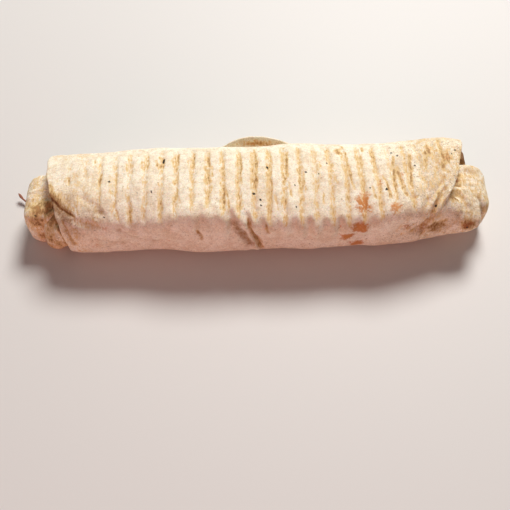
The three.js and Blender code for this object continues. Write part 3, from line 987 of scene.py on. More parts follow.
def end_rows(angle, out, seam, sheet):
    """The angle and stand-off of every row of the first and last rings, the tail's rows among them."""
    tail_outer = mix(seam - TAIL_TURN, seam, TAIL_OUTER[:, None]).T
    over = np.repeat(seam[:, None], len(TAIL_RIM_STEPS), axis=1)
    inner = mix(seam, seam - POCKET_TURN[0], TAIL_INNER[:, None]).T
    angles = np.concatenate([angle, tail_outer, over, inner], axis=1)
    rim_out = sheet / 2 * (1 + np.cos(TAIL_RIM_STEPS))
    outer_out = np.full(tail_outer.shape, sheet)
    over_out = np.broadcast_to(rim_out, over.shape)
    return angles, np.concatenate([out, outer_out, over_out, np.zeros(inner.shape)], axis=1)


def with_ends(values, left, right, inside):
    """Adds the values of the rings inside both mouths, fading from the edge's own."""
    fade_left = np.linspace(0, 1, left)[::-1, None]
    fade_right = np.linspace(0, 1, right)[:, None]
    return np.concatenate(
        [mix(values[0][None, :], inside, fade_left), values, mix(values[-1][None, :], inside, fade_right)]
    )


# --- The turns inside, seen in the open ends ---

# The next turn in at each end: how far inside the outer edge it ends.
InnerTurn = namedtuple("InnerTurn", "name edge inset")
INNER_TURNS = (InnerTurn("left_inner_turn", LEFT, 8.0), InnerTurn("right_inner_turn", RIGHT, 9.0))
INNER_ROOT = 15
INNER_DEPTH = 7
INNER_DOME = 3.0
INNER_ROWS = 200
INNER_STEPS = 26
INNER_RADIUS = 30  # roughly, for unevenness round its rim


def inner_turn(turn, sizes, material):
    """A cup of bread inside a mouth: its outer side, its rim and a pleated floor."""
    sheet = sizes.sheet / MM
    angle = np.linspace(0, 360, INNER_ROWS, endpoint=False)
    turned = np.radians(angle)
    ring = [INNER_RADIUS * np.cos(turned), INNER_RADIUS * np.sin(turned), np.full_like(angle, 9.0)]
    place = np.stack(ring, axis=-1)
    rim_x = edge_x(turn.edge, angle) - turn.edge.side * turn.inset + 1.2 * lumps(place, 9, 71)
    root_x = edge_x(turn.edge, angle) - turn.edge.side * INNER_ROOT
    gap = 1.4 + 0.5 * (1 + lumps(place, 12, 72))
    outer = []
    for share in np.linspace(0, 1, INNER_STEPS):
        x = mix(root_x, rim_x - turn.edge.side * sheet / 2, share)
        out = winding(x, angle, sheet) - sheet - gap
        out = out + 0.35 * lumps(on_roll(x, angle), 6, 73) * share
        outer.append(on_roll(x, angle, out))
    rings = outer + mouth(turn.edge, rim_x, angle, out, sheet, INNER_DEPTH, INNER_DOME)
    rings = above_floor(np.array(rings if turn.edge.side > 0 else rings[::-1]))
    toast = np.clip(0.25 + 0.25 * lumps(rings, 7, 74), 0, 1)
    # The cup lies deep in the mouth, so it gets a little painted shade.
    masks = {"toast": toast, "brown": 0, "char": 0, "coarse": 0.5, "dusk": 0.15}
    return closed_mesh(turn.name, rings, masks, material)


# --- The tucked ends ---

# Where a lobe comes out of the sleeve it follows the sleeve's inner wall: up to which place along the wrap
# and from where no longer, between which angles, how far inside, and from which angle on it runs into the
# outside.
Shoulder = namedtuple("Shoulder", "along rising falling gap merging", defaults=(None,))

# A round area on a lobe: its middle, radius and strength.
Spot = namedtuple("Spot", "x y z radius strength")

# A lobe of folded bread is a rounded box, drawn out straight to its root: its middle, half sizes, bluntness
# in plan and from the side, root, shoulder, how far its rim is raised, and what is drawn on it: creases,
# toasting, browning and painted shade. A walled lobe keeps inside the sleeve's wall.
Lobe = namedtuple(
    "Lobe",
    "name x y z half plan side root shoulder rim creases toast brown dusk walled",
    defaults=(None, 0, (), (), (), (), False),
)
LOBES = (
    Lobe(
        "left_tuck", 32.5 - TIP, -0.8, 15.5, (32.5, 19.8, 18), plan=6, side=5, root=-108,
        creases=(
            Crease(
                ((-133, -9, 34), (-140, -13, 33), (-144, -18, 29), (-144, -21, 20), (-142, -21, 8)),
                1.5, 2.4, 0.3, 0.45,
            ),
            Crease(((-139, -14, 33), (-147, -16, 30), (-153, -18, 22)), 0.7, 2.2, 0.4),
            Crease(((-148, 10, 33), (-153, -1, 30), (-155, -12, 22)), -0.4, 3.0, 0.0),
            Crease(
                ((-158.5, -8, 19), (-158.5, -2, 17), (-158.5, 7, 14), (-157.5, 15, 11)),
                1.8, 1.8, 0.3, 0.7,
            ),
            Crease(((-158.5, -7, 23), (-158.5, -1, 21), (-158.5, 7, 18), (-157.5, 15, 15)), -0.7, 2.2, 0.0),
            Crease(((-158.5, 0, 27), (-158.5, 2, 24), (-158.5, 3, 19)), 1.0, 1.6, 0.2, 0.4),
            Crease(((-158.5, -9, 9), (-158.5, -3, 9), (-158.5, 6, 6)), 0.9, 1.8, 0.2, 0.4),
        ),
        toast=(
            Spot(-147.2, -12.5, 33, 6, 1.1),
            Spot(-147, -12, 32, 12, 0.5),
            # Painted shade: the sleeve's shadow here is painted warm brown, as toasting.
            Spot(-139.5, -12, 32, 8, 0.9),
            # Toasting in the band low on the front, partly painted shade there.
            Spot(-147, -19, 25, 10, 0.6),
            Spot(-152, 12, 30, 7, 0.25),
            Spot(-142, -21, 10, 12, 0.4),
        ),
        brown=(Spot(-147.2, -13, 33, 3.0, 0.3),),
        dusk=(Spot(-146, -19, 26, 7, 0.4), Spot(-144, -22, 12, 6, 0.7), Spot(-145, -21, 4, 6, 0.6)),
    ),
    Lobe(
        "left_fold", -122, -11, 13, (23, 18, 23), plan=5, side=2.2, root=-104,
        shoulder=Shoulder(Ramp(-129, -141), Ramp(128, 160), Ramp(230, 270), 1.6), rim=0.5,
        creases=(Crease(((-138, -27, 24), (-139, -28, 16), (-137, -29, 8)), 0.5, 2.0, 0.4),),
        toast=(Spot(-135, -18, 31, 11, 0.9), Spot(-136, -28, 14, 14, 0.45)),
        dusk=(Spot(-140, -25, 14, 10, 0.35), Spot(-133, -28, 20, 14, 0.35)),
    ),
    Lobe(
        "right_tuck", TIP - 34.5, 2.4, 16, (33.6, 19.9, 20), plan=6, side=3.7, root=104,
        creases=(
            Crease(((134, 10, 36), (145, 8, 35), (154, 5, 30)), 0.5, 2.6, 0.2),
            Crease(
                ((144.5, -8.5, 34.5), (147.5, -11.5, 33), (150, -15, 27), (151.5, -17, 16)),
                0.9, 1.8, 0.3, 0.7,
            ),
            Crease(((157, 17, 23), (158, 9, 20), (158, 1, 15), (158, -7, 12)), 1.8, 1.8, 0.3, 0.7),
            Crease(((157, 16, 27), (158, 9, 24), (158, 1, 19), (158, -6, 16)), -0.7, 2.2, 0.0),
            Crease(((158, 1, 28), (158, 2, 25), (158, 4, 20)), 1.0, 1.6, 0.2, 0.4),
            Crease(((157, 15, 8), (158, 6, 8), (158, -5, 5)), 0.8, 1.8, 0.2, 0.4),
        ),
        toast=(
            Spot(132, 4, 36, 7, 1.0),
            Spot(135, 7, 36, 5, 1.0),
            Spot(133, -3, 36, 7, 0.7),
            Spot(146, 2, 36, 20, 0.16),
            Spot(156, -8, 22, 14, 0.35),
        ),
        brown=(Spot(131, 3, 36, 4.5, 0.7),),
        dusk=(Spot(131.5, 2, 36, 5.5, 0.75), Spot(137, 19, 32, 5, 0.6), Spot(150, 4, 34, 26, 0.26)),
    ),
    # The flap is painted dark brown, as toasting and painted shade, for the shade it lies in inside the
    # sleeve's opening.
    Lobe(
        "right_flap", 118, 26, 20, (27.5, 7.5, 18), plan=7, side=3.5, root=104, rim=0.4, walled=True,
        creases=(
            Crease(((145, 23, 24), (145.5, 24, 18), (145, 22, 11), (144, 25, 4)), 1.0, 1.6, 0.4, 0.4),
            Crease(((145, 29, 23), (145.5, 29, 18), (145, 31, 12)), 0.7, 1.5, 0.3, 0.3),
        ),
        toast=(Spot(144, 27, 30, 15, 1.0), Spot(144, 27, 8, 14, 0.4)),
        dusk=(Spot(144, 27, 30, 14, 0.8), Spot(144, 27, 8, 14, 0.3)),
    ),
    Lobe(
        "right_fold", 129.6, -14, 26, (18.4, 18, 12.5), plan=3.3, side=2, root=104,
        shoulder=Shoulder(Ramp(118, 137), Ramp(88, 122), Ramp(230, 290), 1.2, Ramp(112, 140)), rim=0.8,
        creases=(
            Crease(
                ((132.5, -5.5, 37.5), (135, -11, 38.5), (136.9, -15.5, 38), (138, -20, 37)),
                -1.1, 1.7, 0.0,
            ),
            Crease(
                ((129.5, -8, 38), (133, -14, 38.5), (134.5, -19, 37.5), (136, -24, 35.5)),
                0.8, 1.9, 0.3, 0.4,
            ),
            Crease(((136.5, -7, 37.5), (139.5, -12, 37.3), (141.5, -18, 35.5)), 0.6, 2.0, 0.1, 0.4),
            Crease(((126.5, -13, 38), (130, -19, 37.5), (131.5, -25, 36)), -0.8, 1.9, 0.0),
            Crease(((122, -16, 38), (126, -22, 37), (128, -27, 34)), 0.5, 1.8, 0.1, 0.3),
            Crease(
                ((143.5, -15, 35.8), (145.3, -20.6, 33.4), (145, -25, 31.5), (144, -28, 29)),
                -0.7, 1.4, 0.0,
            ),
        ),
        toast=(Spot(137, -29.5, 30.5, 6, 0.7), Spot(129, -9, 38, 6, 0.5), Spot(115, -29, 27, 9, 0.5)),
        brown=(
            Spot(134.8, -30, 30.2, 2.6, 0.7),
            Spot(138.8, -29, 31, 3.0, 0.8),
            Spot(137, -30.4, 28.6, 2.4, 0.9),
        ),
        # Painted shade over the fold, which lies mostly in half shade, and in its hollows.
        dusk=(
            Spot(137, -30, 29.5, 5.5, 0.6),
            Spot(137, -17, 34, 20, 0.4),
            Spot(128, -9, 38, 6, 0.6),
            Spot(140.5, -21, 35.5, 6, 0.5),
            Spot(116, -29, 26, 9, 0.7),
        ),
    ),
)
CHAR_SPOTS = (Spot(136.8, -30.6, 28.2, 0.9, 1.0), Spot(-147.4, -17, 31, 0.7, 0.8))
LOBE_TOAST = 0.16  # everywhere on a lobe

LOBE_ROWS = 170
NOSE_STEPS = 20
HALVINGS = 30  # to find where a lobe's surface lies
ROOT_STEPS = 20
CORNER_SHARE = 0.86  # of its length: where a lobe's corner starts
CORNER_END = math.radians(80)
FACE_HOLE = 0.04  # left open in the middle of its end face, as a share

WALL_GAP = 0.6
MERGED_GAP = 0.4
MERGED_DROP = 8
GAP_SHADE = Ramp(1.0, 5.0)  # how far past the sleeve's edge its shadow reaches

# The end faces are smoother than the rest, with dents low at the back only.
FACE_SPAN = Ramp(0.9, 0.98)
FACE_SMOOTHING = 0.7
DENT_TOP = Ramp(14, 26)
DENT_FRONT = Ramp(-12, -2)


def section_reach(lobe, reach, c, s):
    """How far a lobe's section goes in a direction, as a share of its half sizes. reach is the section's
    place along the lobe, as a share too."""
    low = np.zeros(np.broadcast(reach, c).shape)
    high = low + 1.5
    for _ in range(HALVINGS):
        middle = (low + high) / 2
        across = (reach**lobe.plan + np.abs(middle * c) ** lobe.plan) ** (lobe.side / lobe.plan)
        inside = across + np.abs(middle * s) ** lobe.side < 1
        low = np.where(inside, middle, low)
        high = np.where(inside, high, middle)
    return low


def shoulder_share(shoulder, x, angle):
    """1 where a lobe follows the sleeve's wall, 0 where it has its own shape."""
    return (1 - smooth(x, shoulder.along)) * between(angle, shoulder.rising, shoulder.falling)


def shoulder_out(shoulder, x, angle, side, sheet):
    """How far off the plain roll a lobe lies where it follows the sleeve's wall."""
    inside = sheet + shoulder.gap
    if shoulder.merging:
        edge = RIGHT if side > 0 else LEFT
        covered = smooth(side * (edge_x(edge, angle) - x), (0, 5))
        inside = mix(inside, MERGED_GAP + MERGED_DROP * covered, smooth(angle, shoulder.merging))
    return winding(x, angle, sheet) - inside


def lobe_reaches(lobe):
    """How far along a lobe its rings lie, as shares: along its straight part, round its corner and over its
    end face."""
    power = 2 / lobe.plan
    corner = np.linspace(np.arcsin(CORNER_SHARE ** (1 / power)), CORNER_END, NOSE_STEPS, endpoint=False)
    face = np.arccos(np.linspace(np.cos(CORNER_END) ** power, FACE_HOLE, NOSE_STEPS) ** (1 / power))
    straight = np.linspace(0, CORNER_SHARE, NOSE_STEPS, endpoint=False)
    return np.concatenate([np.zeros(ROOT_STEPS), straight, np.sin(corner) ** power, np.sin(face) ** power])


def inside_wall(x, y, z, sheet):
    """Draws in whatever would go through the sleeve's wall."""
    middle_y, middle_z = roll_middle(x)
    angle = np.degrees(np.arctan2(z - middle_z, y - middle_y)) % 360
    wall_y, wall_z = roll_point(x, angle, corner_lift(x, angle) - sheet - WALL_GAP)
    room = np.hypot(wall_y - middle_y, wall_z - middle_z) / np.hypot(y - middle_y, z - middle_z)
    share = np.minimum(1, room)
    return mix(middle_y, y, share), mix(middle_z, z, share)


def lobe_rings(lobe, sheet):
    """Rings along a lobe, from its root to its tip."""
    side = np.sign(lobe.x)
    reach = lobe_reaches(lobe)
    x = lobe.x + side * lobe.half[0] * reach
    x[:ROOT_STEPS] = np.linspace(lobe.root, lobe.x, ROOT_STEPS, endpoint=False)
    angle = np.linspace(0, 360, LOBE_ROWS, endpoint=False)
    c = np.cos(np.radians(angle))
    s = np.sin(np.radians(angle))
    share = section_reach(lobe, reach[:, None], c[None, :], s[None, :])
    y = lobe.y + lobe.half[1] * share * c
    z = lobe.z + lobe.half[2] * share * s
    x, angle = np.broadcast_arrays(x[:, None], angle)
    if lobe.shoulder:
        follows = shoulder_share(lobe.shoulder, x, angle)
        wall_y, wall_z = roll_point(x, angle, shoulder_out(lobe.shoulder, x, angle, side, sheet))
        y = mix(y, wall_y, follows)
        z = mix(z, wall_z, follows)
    if lobe.walled:
        y, z = inside_wall(x, y, z, sheet)
    rings = np.stack([x, y, z], axis=-1)
    shade = sleeve_shade(lobe.shoulder, x, angle, side) if lobe.shoulder else np.zeros(x.shape)
    return (rings, shade) if side > 0 else (rings[::-1], shade[::-1])


def sleeve_shade(shoulder, x, angle, side):
    """Painted shade on a lobe in the gap beside the sleeve's edge, where the sleeve's rim shades it."""
    edge = RIGHT if side > 0 else LEFT
    beyond = side * (x - edge_x(edge, angle))
    shade = smooth(angle, shoulder.rising) * (1 - smooth(beyond, GAP_SHADE))
    if shoulder.merging:
        shade = shade * (1 - smooth(angle, shoulder.merging))
    return shade


def spotted(points, spots):
    """A mask with ragged, round areas."""
    mask = np.zeros(points.shape[:-1])
    ragged = 1 + 0.45 * lumps(points, 3.0, 85)
    for spot in spots:
        distance = np.linalg.norm(points - np.array([spot.x, spot.y, spot.z]), axis=-1) * ragged
        fade = 1 - smooth(distance, (0.3 * spot.radius, 1.2 * spot.radius))
        mask = np.maximum(mask, spot.strength * fade)
    return mask


def tucked_lobe(lobe, sizes, material):
    """One lobe, with its pleats, its creases and a slightly raised rim."""
    rings, shade = lobe_rings(lobe, sizes.sheet / MM)
    creases = [(crease, np.array(crease.path, float)) for crease in lobe.creases]
    depth, toast, dusk = crease_marks(wandering(rings), creases)
    pleats = 0.5 * lumps(rings * (0.25, 1, 1), 5.0, 81) + 0.25 * lumps(rings * (0.4, 1, 1), 2.2, 82)
    tip = lobe.x + np.sign(lobe.x) * lobe.half[0]
    rim = lobe.rim * bump(np.abs(rings[..., 0] - tip) - 2.5, 3.0)
    face = smooth(np.abs(rings[..., 0] - lobe.x) / lobe.half[0], FACE_SPAN)
    low_back = (1 - smooth(rings[..., 2], DENT_TOP)) * smooth(rings[..., 1], DENT_FRONT)
    dents = 1.4 * face * low_back * lumps(rings, 11, 84)
    even = 1 - FACE_SMOOTHING * face
    out = even * (0.8 * unevenness(rings, sizes.unevenness) + pleats) + rim - depth + dents
    rings = above_floor(rings + grid_normals(rings) * out[..., None])
    toast = np.maximum(toast, spotted(rings, lobe.toast)) + LOBE_TOAST
    # In the gap beside the sleeve's edge, painted shade is laid on as toasting and as darkening.
    masks = {
        "toast": np.clip(np.maximum(toast, 1.3 * shade), 0, 1.3),
        "brown": spotted(rings, lobe.brown),
        "char": spotted(rings, CHAR_SPOTS),
        "dusk": np.maximum(np.maximum(dusk, spotted(rings, lobe.dusk)), 0.7 * shade),
        "coarse": 0.5,
    }
    return closed_mesh(lobe.name, rings, masks, material)


# --- A shred of the filling ---

SHRED_PATH = ((-152, 14, 9), (-160, 14.5, 5), (-165, 14.5, 3.2), (-168, 17, 3.6), (-171, 20.5, 5.4))
SHRED_HALF_WIDTH = 1.5
SHRED_FLATNESS = 0.5
SHRED_TWIST = (0.5, 2.2)  # at its root, and how much more at its tip
SHRED_RINGS = 34
SHRED_ROWS = 18


def filling_shred(material):
    """A thin shaving of roast meat that has slipped out at the left end."""
    path = np.array(SHRED_PATH, float)
    steps = np.linspace(0, len(path) - 1, SHRED_RINGS)
    middle = np.stack([np.interp(steps, range(len(path)), path[:, i]) for i in range(3)], axis=-1)
    middle = (np.roll(middle, 1, axis=0) + middle + np.roll(middle, -1, axis=0)) / 3
    middle[0], middle[-1] = path[0], path[-1]
    share = np.linspace(0, 1, len(middle))
    wide = SHRED_HALF_WIDTH * np.sqrt(np.clip(1 - share**4, 0.02, 1)) * (1 + 0.25 * np.sin(9 * share))
    angle = np.radians(np.linspace(0, 360, SHRED_ROWS, endpoint=False))
    rings = []
    for i, centre in enumerate(middle):
        ahead = middle[min(i + 1, len(middle) - 1)] - middle[max(i - 1, 0)]
        ahead = ahead / np.linalg.norm(ahead)
        side = np.cross(ahead, (0, 0, 1))
        side = side / np.linalg.norm(side)
        up = np.cross(side, ahead)
        twist = SHRED_TWIST[0] + SHRED_TWIST[1] * share[i]
        broad = math.cos(twist) * side + math.sin(twist) * up
        thin = -math.sin(twist) * side + math.cos(twist) * up
        ring = np.cos(angle)[:, None] * broad + SHRED_FLATNESS * np.sin(angle)[:, None] * thin
        rings.append(centre + wide[i] * ring)
    rings = np.array(rings)[:, ::-1]
    rings = rings + 0.25 * lumps(rings, 1.6, 91)[..., None] * grid_normals(rings)
    return closed_mesh("filling_shred", rings, {}, material)


# --- Node groups ---


def new_group(name, colours, values, output, kind="Color"):
    """A shader node group with a place, some colours and some values as its inputs, and its end nodes."""
    group = bpy.data.node_groups.new(name, "ShaderNodeTree")
    group.interface.new_socket("Place", in_out="INPUT", socket_type="NodeSocketVector")
    for label in colours:
        socket = group.interface.new_socket(label, in_out="INPUT", socket_type="NodeSocketColor")
        socket.default_value = (1, 1, 1, 1)
    for label in values:
        group.interface.new_socket(label, in_out="INPUT", socket_type="NodeSocketFloat")
    group.interface.new_socket(output, in_out="OUTPUT", socket_type=f"NodeSocket{kind}")
    start = group.nodes.new("NodeGroupInput")
    end = group.nodes.new("NodeGroupOutput")
    return group, start.outputs, end.inputs


def fill_in(node, values):
    """Sets a node's inputs by their names."""
    for key, value in values.items():
        node.inputs[key].default_value = value


def add_node(tree, kind, values=None, **settings):
    """A new node with its inputs and settings filled in."""
    node = tree.nodes.new(kind)
    for key, value in settings.items():
        setattr(node, key, value)
    fill_in(node, values or {})
    return node


def math_node(tree, operation, *values, clamp=False):
    """A Math node fed by sockets or plain numbers. Gives its output."""
    node = add_node(tree, "ShaderNodeMath", operation=operation, use_clamp=clamp)
    for i, value in enumerate(values):
        if isinstance(value, (int, float)):
            node.inputs[i].default_value = value
        else:
            tree.links.new(value, node.inputs[i])
    return node.outputs[0]


def weighted_sum(tree, first, *rest):
    """Adds up values, each given with its weight."""
    total = math_node(tree, "MULTIPLY", *first)
    for value, weight in rest:
        total = math_node(tree, "MULTIPLY_ADD", value, weight, total)
    return total


def noise_node(tree, place, size, detail=3.0, roughness=0.55, distortion=0.0):
    """Noise with grains of about the given size. Gives its factor output."""
    values = {"Scale": 1 / (size * MM), "Detail": detail, "Roughness": roughness, "Distortion": distortion}
    node = add_node(tree, "ShaderNodeTexNoise", values)
    tree.links.new(place, node.inputs["Vector"])
    return node.outputs[0]


def both_ways(tree, noise):
    """Moves noise to either side of nought."""
    return math_node(tree, "SUBTRACT", noise, 0.5)


def broken_up(tree, mask, noise, spread):
    """A mask that noise breaks up wherever there is some of it. A high spread takes in its faint edges."""
    present = math_node(tree, "MULTIPLY", mask, spread, clamp=True)
    return math_node(tree, "MULTIPLY_ADD", noise, present, mask)


def ramp_node(tree, value, low, high):
    """Stretches a value from low..high to 0..1, with soft ends."""
    limits = {"From Min": low, "From Max": high}
    node = add_node(tree, "ShaderNodeMapRange", limits, interpolation_type="SMOOTHSTEP")
    tree.links.new(value, node.inputs["Value"])
    return node.outputs["Result"]


def mix_colour(tree, share, first, second, blend="MIX"):
    """A colour mix fed by sockets or plain colours. Gives its output."""
    node = add_node(tree, "ShaderNodeMix", data_type="RGBA", blend_type=blend)
    for socket, value in ((node.inputs[0], share), (node.inputs[6], first), (node.inputs[7], second)):
        if isinstance(value, (int, float, tuple)):
            socket.default_value = value
        else:
            tree.links.new(value, socket)
    return node.outputs[2]


def stretched(tree, place, scale):
    """The same place, with noise drawn out along the directions whose scale is small."""
    node = add_node(tree, "ShaderNodeMapping", {"Scale": scale})
    tree.links.new(place, node.inputs["Vector"])
    return node.outputs["Vector"]


# The last mask and the last colour paint shade: in creases, recesses and shaded areas.
TOASTING_MASKS = ("Toast", "Brown", "Char", "Dusk")
MOTTLE_COLOURS = ("Pale", "Warm", "Bran")
TOASTING_COLOURS = ("Golden", "Toasted", "Browned", "Charred", "Dusky")
INNER_WARMTH = 0.45  # of the bread inside the mouths, which stayed softer


def mottle_group():
    """Bread's own colour: soft mottling, a fine grain and flecks of bran."""
    group, start, end = new_group("Bread Mottle", MOTTLE_COLOURS, ["Coarse"], "Color")
    place = start["Place"]
    coarse = start["Coarse"]
    broad = ramp_node(group, noise_node(group, place, 14), 0.36, 0.64)
    small = ramp_node(group, noise_node(group, place, 4.2, 3.0, 0.6), 0.36, 0.66)
    fine = ramp_node(group, noise_node(group, place, 1.3, 2.0, 0.6), 0.3, 0.7)
    warmth = weighted_sum(group, (small, 0.75), (broad, 0.5), (fine, 0.4))
    offset = math_node(group, "MULTIPLY_ADD", coarse, 0.36, -0.42)
    warmth = math_node(group, "ADD", warmth, offset, clamp=True)
    colour = mix_colour(group, warmth, start["Pale"], start["Warm"])
    bare = math_node(group, "SUBTRACT", 0.625, math_node(group, "MULTIPLY", coarse, 0.07))
    fleck_noise = noise_node(group, place, 1.9, 2.0, 0.75, 0.5)
    flecks = ramp_node(group, math_node(group, "SUBTRACT", fleck_noise, bare), 0.0, 0.08)
    amount = math_node(group, "MULTIPLY_ADD", coarse, 0.05, 0.7)
    colour = mix_colour(group, math_node(group, "MULTIPLY", flecks, amount), colour, start["Bran"])
    grain = ramp_node(group, noise_node(group, place, 1, 2.0, 0.7), 0.25, 0.75)
    spread = math_node(group, "MULTIPLY_ADD", coarse, 0.25, 0.28)
    node = add_node(group, "ShaderNodeHueSaturation")
    brightness = math_node(group, "MULTIPLY_ADD", both_ways(group, grain), spread, 1.0)
    group.links.new(brightness, node.inputs["Value"])
    group.links.new(colour, node.inputs["Color"])
    group.links.new(node.outputs[0], end["Color"])


def toasting_group():
    """Lays toasting, brown blisters, painted shade and charred specks over a colour."""
    group, start, end = new_group("Bread Toasting", ("Color", *TOASTING_COLOURS), TOASTING_MASKS, "Color")
    group.interface.new_socket("Dryness", in_out="OUTPUT", socket_type="NodeSocketFloat")
    place = start["Place"]
    round_it = stretched(group, place, (1.0, 0.3, 0.3))
    streaks = both_ways(group, noise_node(group, round_it, 1.1, 3.0, 0.7))
    patches = both_ways(group, noise_node(group, place, 3.5, 3.0, 0.65))
    pits = both_ways(group, noise_node(group, place, 1.6, 3.0, 0.7))

    grain = weighted_sum(group, (patches, 1.4), (streaks, 2.3))
    level = broken_up(group, start["Toast"], grain, 5.0)
    colour = mix_colour(group, ramp_node(group, level, 0.06, 0.7), start["Color"], start["Golden"])
    colour = mix_colour(group, ramp_node(group, level, 0.62, 1.15), colour, start["Toasted"])

    grain = weighted_sum(group, (patches, 1.2), (pits, 2.0))
    browned = ramp_node(group, broken_up(group, start["Brown"], grain, 4.0), 0.1, 1.05)
    colour = mix_colour(group, browned, colour, start["Browned"])

    # Painted shade: darkens the colour by multiplying it with the shade tint.
    grain = weighted_sum(group, (patches, 0.9), (pits, 0.7))
    shaded = ramp_node(group, broken_up(group, start["Dusk"], grain, 3.0), 0.0, 1.0)
    darker = mix_colour(group, 1.0, colour, start["Dusky"], "MULTIPLY")
    colour = mix_colour(group, shaded, colour, darker)

    charred = ramp_node(group, start["Char"], 0.1, 0.6)
    colour = mix_colour(group, charred, colour, start["Charred"])
    group.links.new(colour, end["Color"])
    dryness = math_node(group, "MAXIMUM", browned, math_node(group, "MULTIPLY", level, 0.6), clamp=True)
    group.links.new(dryness, end["Dryness"])


def pores_group():
    """The height of bread's skin: pores, small blisters and a dry, grainy surface."""
    group, start, end = new_group("Bread Pores", (), ["Coarse"], "Height", "Float")
    place = start["Place"]
    skin = noise_node(group, place, 3.4, 3.0, 0.6)
    grain = noise_node(group, place, 1.3, 3.0, 0.65)
    blisters = noise_node(group, place, 2.2, 3.0, 0.7, 0.8)
    extra = math_node(group, "MULTIPLY", start["Coarse"], blisters)
    height = weighted_sum(group, (grain, 0.5), (skin, 0.6))
    group.links.new(math_node(group, "ADD", height, extra), end["Height"])


def group_node(tree, group_name, sockets, colours):
    """A group's node, whose inputs take the sockets and colours of the same names."""
    node = add_node(tree, "ShaderNodeGroup")
    node.node_tree = bpy.data.node_groups[group_name]
    for given in node.inputs:
        if given.name in sockets:
            tree.links.new(sockets[given.name], given)
        else:
            given.default_value = colours[given.name]
    return node


def add_bump(tree, shader, height, strength, depth):
    """Roughens a shader's surface by a height."""
    relief = add_node(tree, "ShaderNodeBump", {"Strength": strength, "Distance": depth * MM})
    tree.links.new(height, relief.inputs["Height"])
    tree.links.new(relief.outputs["Normal"], shader.inputs["Normal"])


def new_material(name):
    """A material with its tree, its shader and the place on the object."""
    material = bpy.data.materials.new(name)
    material.use_nodes = True
    tree = material.node_tree
    shader = tree.nodes["Principled BSDF"]
    place = add_node(tree, "ShaderNodeTexCoord").outputs["Object"]
    return material, tree, shader, place


def made_material(name):
    """A material that the first step has made."""
    material = bpy.data.materials.get(name)
    if material is None:
        raise RuntimeError(f"The material {name} is missing. Run the Materials step first.")
    return material


def bread_material(name, colours, warmth):
    """Flatbread. warmth moves the pale colour towards the warm one, for bread that stayed soft inside."""
    material, tree, shader, place = new_material(name)
    sockets = {"Place": place}
    for mask in (*TOASTING_MASKS, "Coarse"):
        node = add_node(tree, "ShaderNodeAttribute", attribute_name=mask.lower())
        sockets[mask] = node.outputs["Fac"]
    shades = {label: (*getattr(colours, label.lower()), 1) for label in MOTTLE_COLOURS + TOASTING_COLOURS}
    shades["Pale"] = tuple(mix(pale, warm, warmth) for pale, warm in zip(shades["Pale"], shades["Warm"]))
    sockets["Color"] = group_node(tree, "Bread Mottle", sockets, shades).outputs["Color"]
    toasting = group_node(tree, "Bread Toasting", sockets, shades)
    tree.links.new(toasting.outputs["Color"], shader.inputs["Base Color"])
    rough = add_node(tree, "ShaderNodeMapRange", {"To Min": 0.82, "To Max": 0.62})
    tree.links.new(toasting.outputs["Dryness"], rough.inputs["Value"])
    tree.links.new(rough.outputs["Result"], shader.inputs["Roughness"])
    pores = group_node(tree, "Bread Pores", sockets, shades)
    add_bump(tree, shader, pores.outputs["Height"], 0.4, 1.2)
    fill_in(
        shader,
        {
            "Subsurface Weight": 0.12,
            "Subsurface Radius": (4 * MM, 2.2 * MM, 1.2 * MM),
            "Subsurface Scale": 1.0,
            "Specular IOR Level": 0.3,
        },
    )
    return material


def meat_material(colours):
    """Roast meat, with dark stripes along its fibres."""
    material, tree, shader, place = new_material("Roast Meat")
    stripes = ramp_node(tree, noise_node(tree, place, 1.2, 3.0, 0.6, 0.6), 0.35, 0.7)
    dark = tuple(value * 0.45 for value in colours.meat)
    tree.links.new(mix_colour(tree, stripes, (*dark, 1), (*colours.meat, 1)), shader.inputs["Base Color"])
    add_bump(tree, shader, stripes, 0.7, 0.4)
    fill_in(shader, {"Roughness": 0.38})
    return material


def matte_material(name, colour, roughness):
    """A plain material."""
    material, _, shader, _ = new_material(name)
    fill_in(shader, {"Base Color": (*colour, 1), "Roughness": roughness})
    return material


# --- The studio ---

CAMERA_PLACE = (-13.5 * MM, -292.9 * MM, 428.3 * MM)
CAMERA_TILT = math.radians(31.4)
CAMERA_TURN = math.radians(-2.25)
CAMERA_ROLL = math.radians(0.8)
LENS = 51.4
SENSOR = 36.0
NEAREST = 0.01  # that the camera sees, in metres, like all of the studio's lengths below
FLOOR_HALF = 3.0
LIGHT_SIZE = 0.8
LIGHT_TARGET = (0, 0, 0.02)
KEY_PLACE = (0.42, 1.24, 1.56)
KEY_COLOUR = (1.0, 0.97, 0.93)
FILL_PLACE = (-0.25, -1.1, 0.3)
FILL_COLOUR = (1.0, 0.31, 0.27)
SKY_COLOUR = (1.0, 0.985, 0.96, 1)


def aimed_light(name, place, power, colour):
    """A round, soft light that points at the wrap."""
    data = bpy.data.lights.new(name, "AREA")
    data.shape = "DISK"
    data.size = LIGHT_SIZE
    data.energy = power
    data.color = colour
    light = linked(name, data)
    light.location = place
    light.rotation_euler = (Vector(LIGHT_TARGET) - Vector(place)).to_track_quat("-Z", "Y").to_euler()


def studio_floor(colour):
    """A plain floor to stand on."""
    corners = [(FLOOR_HALF * x, FLOOR_HALF * y, 0) for x, y in ((-1, -1), (1, -1), (1, 1), (-1, 1))]
    mesh = bpy.data.meshes.new("floor")
    mesh.from_pydata(corners, [], [(0, 1, 2, 3)])
    mesh.materials.append(matte_material("Studio Floor", colour, 0.6))
    floor = linked("floor", mesh)


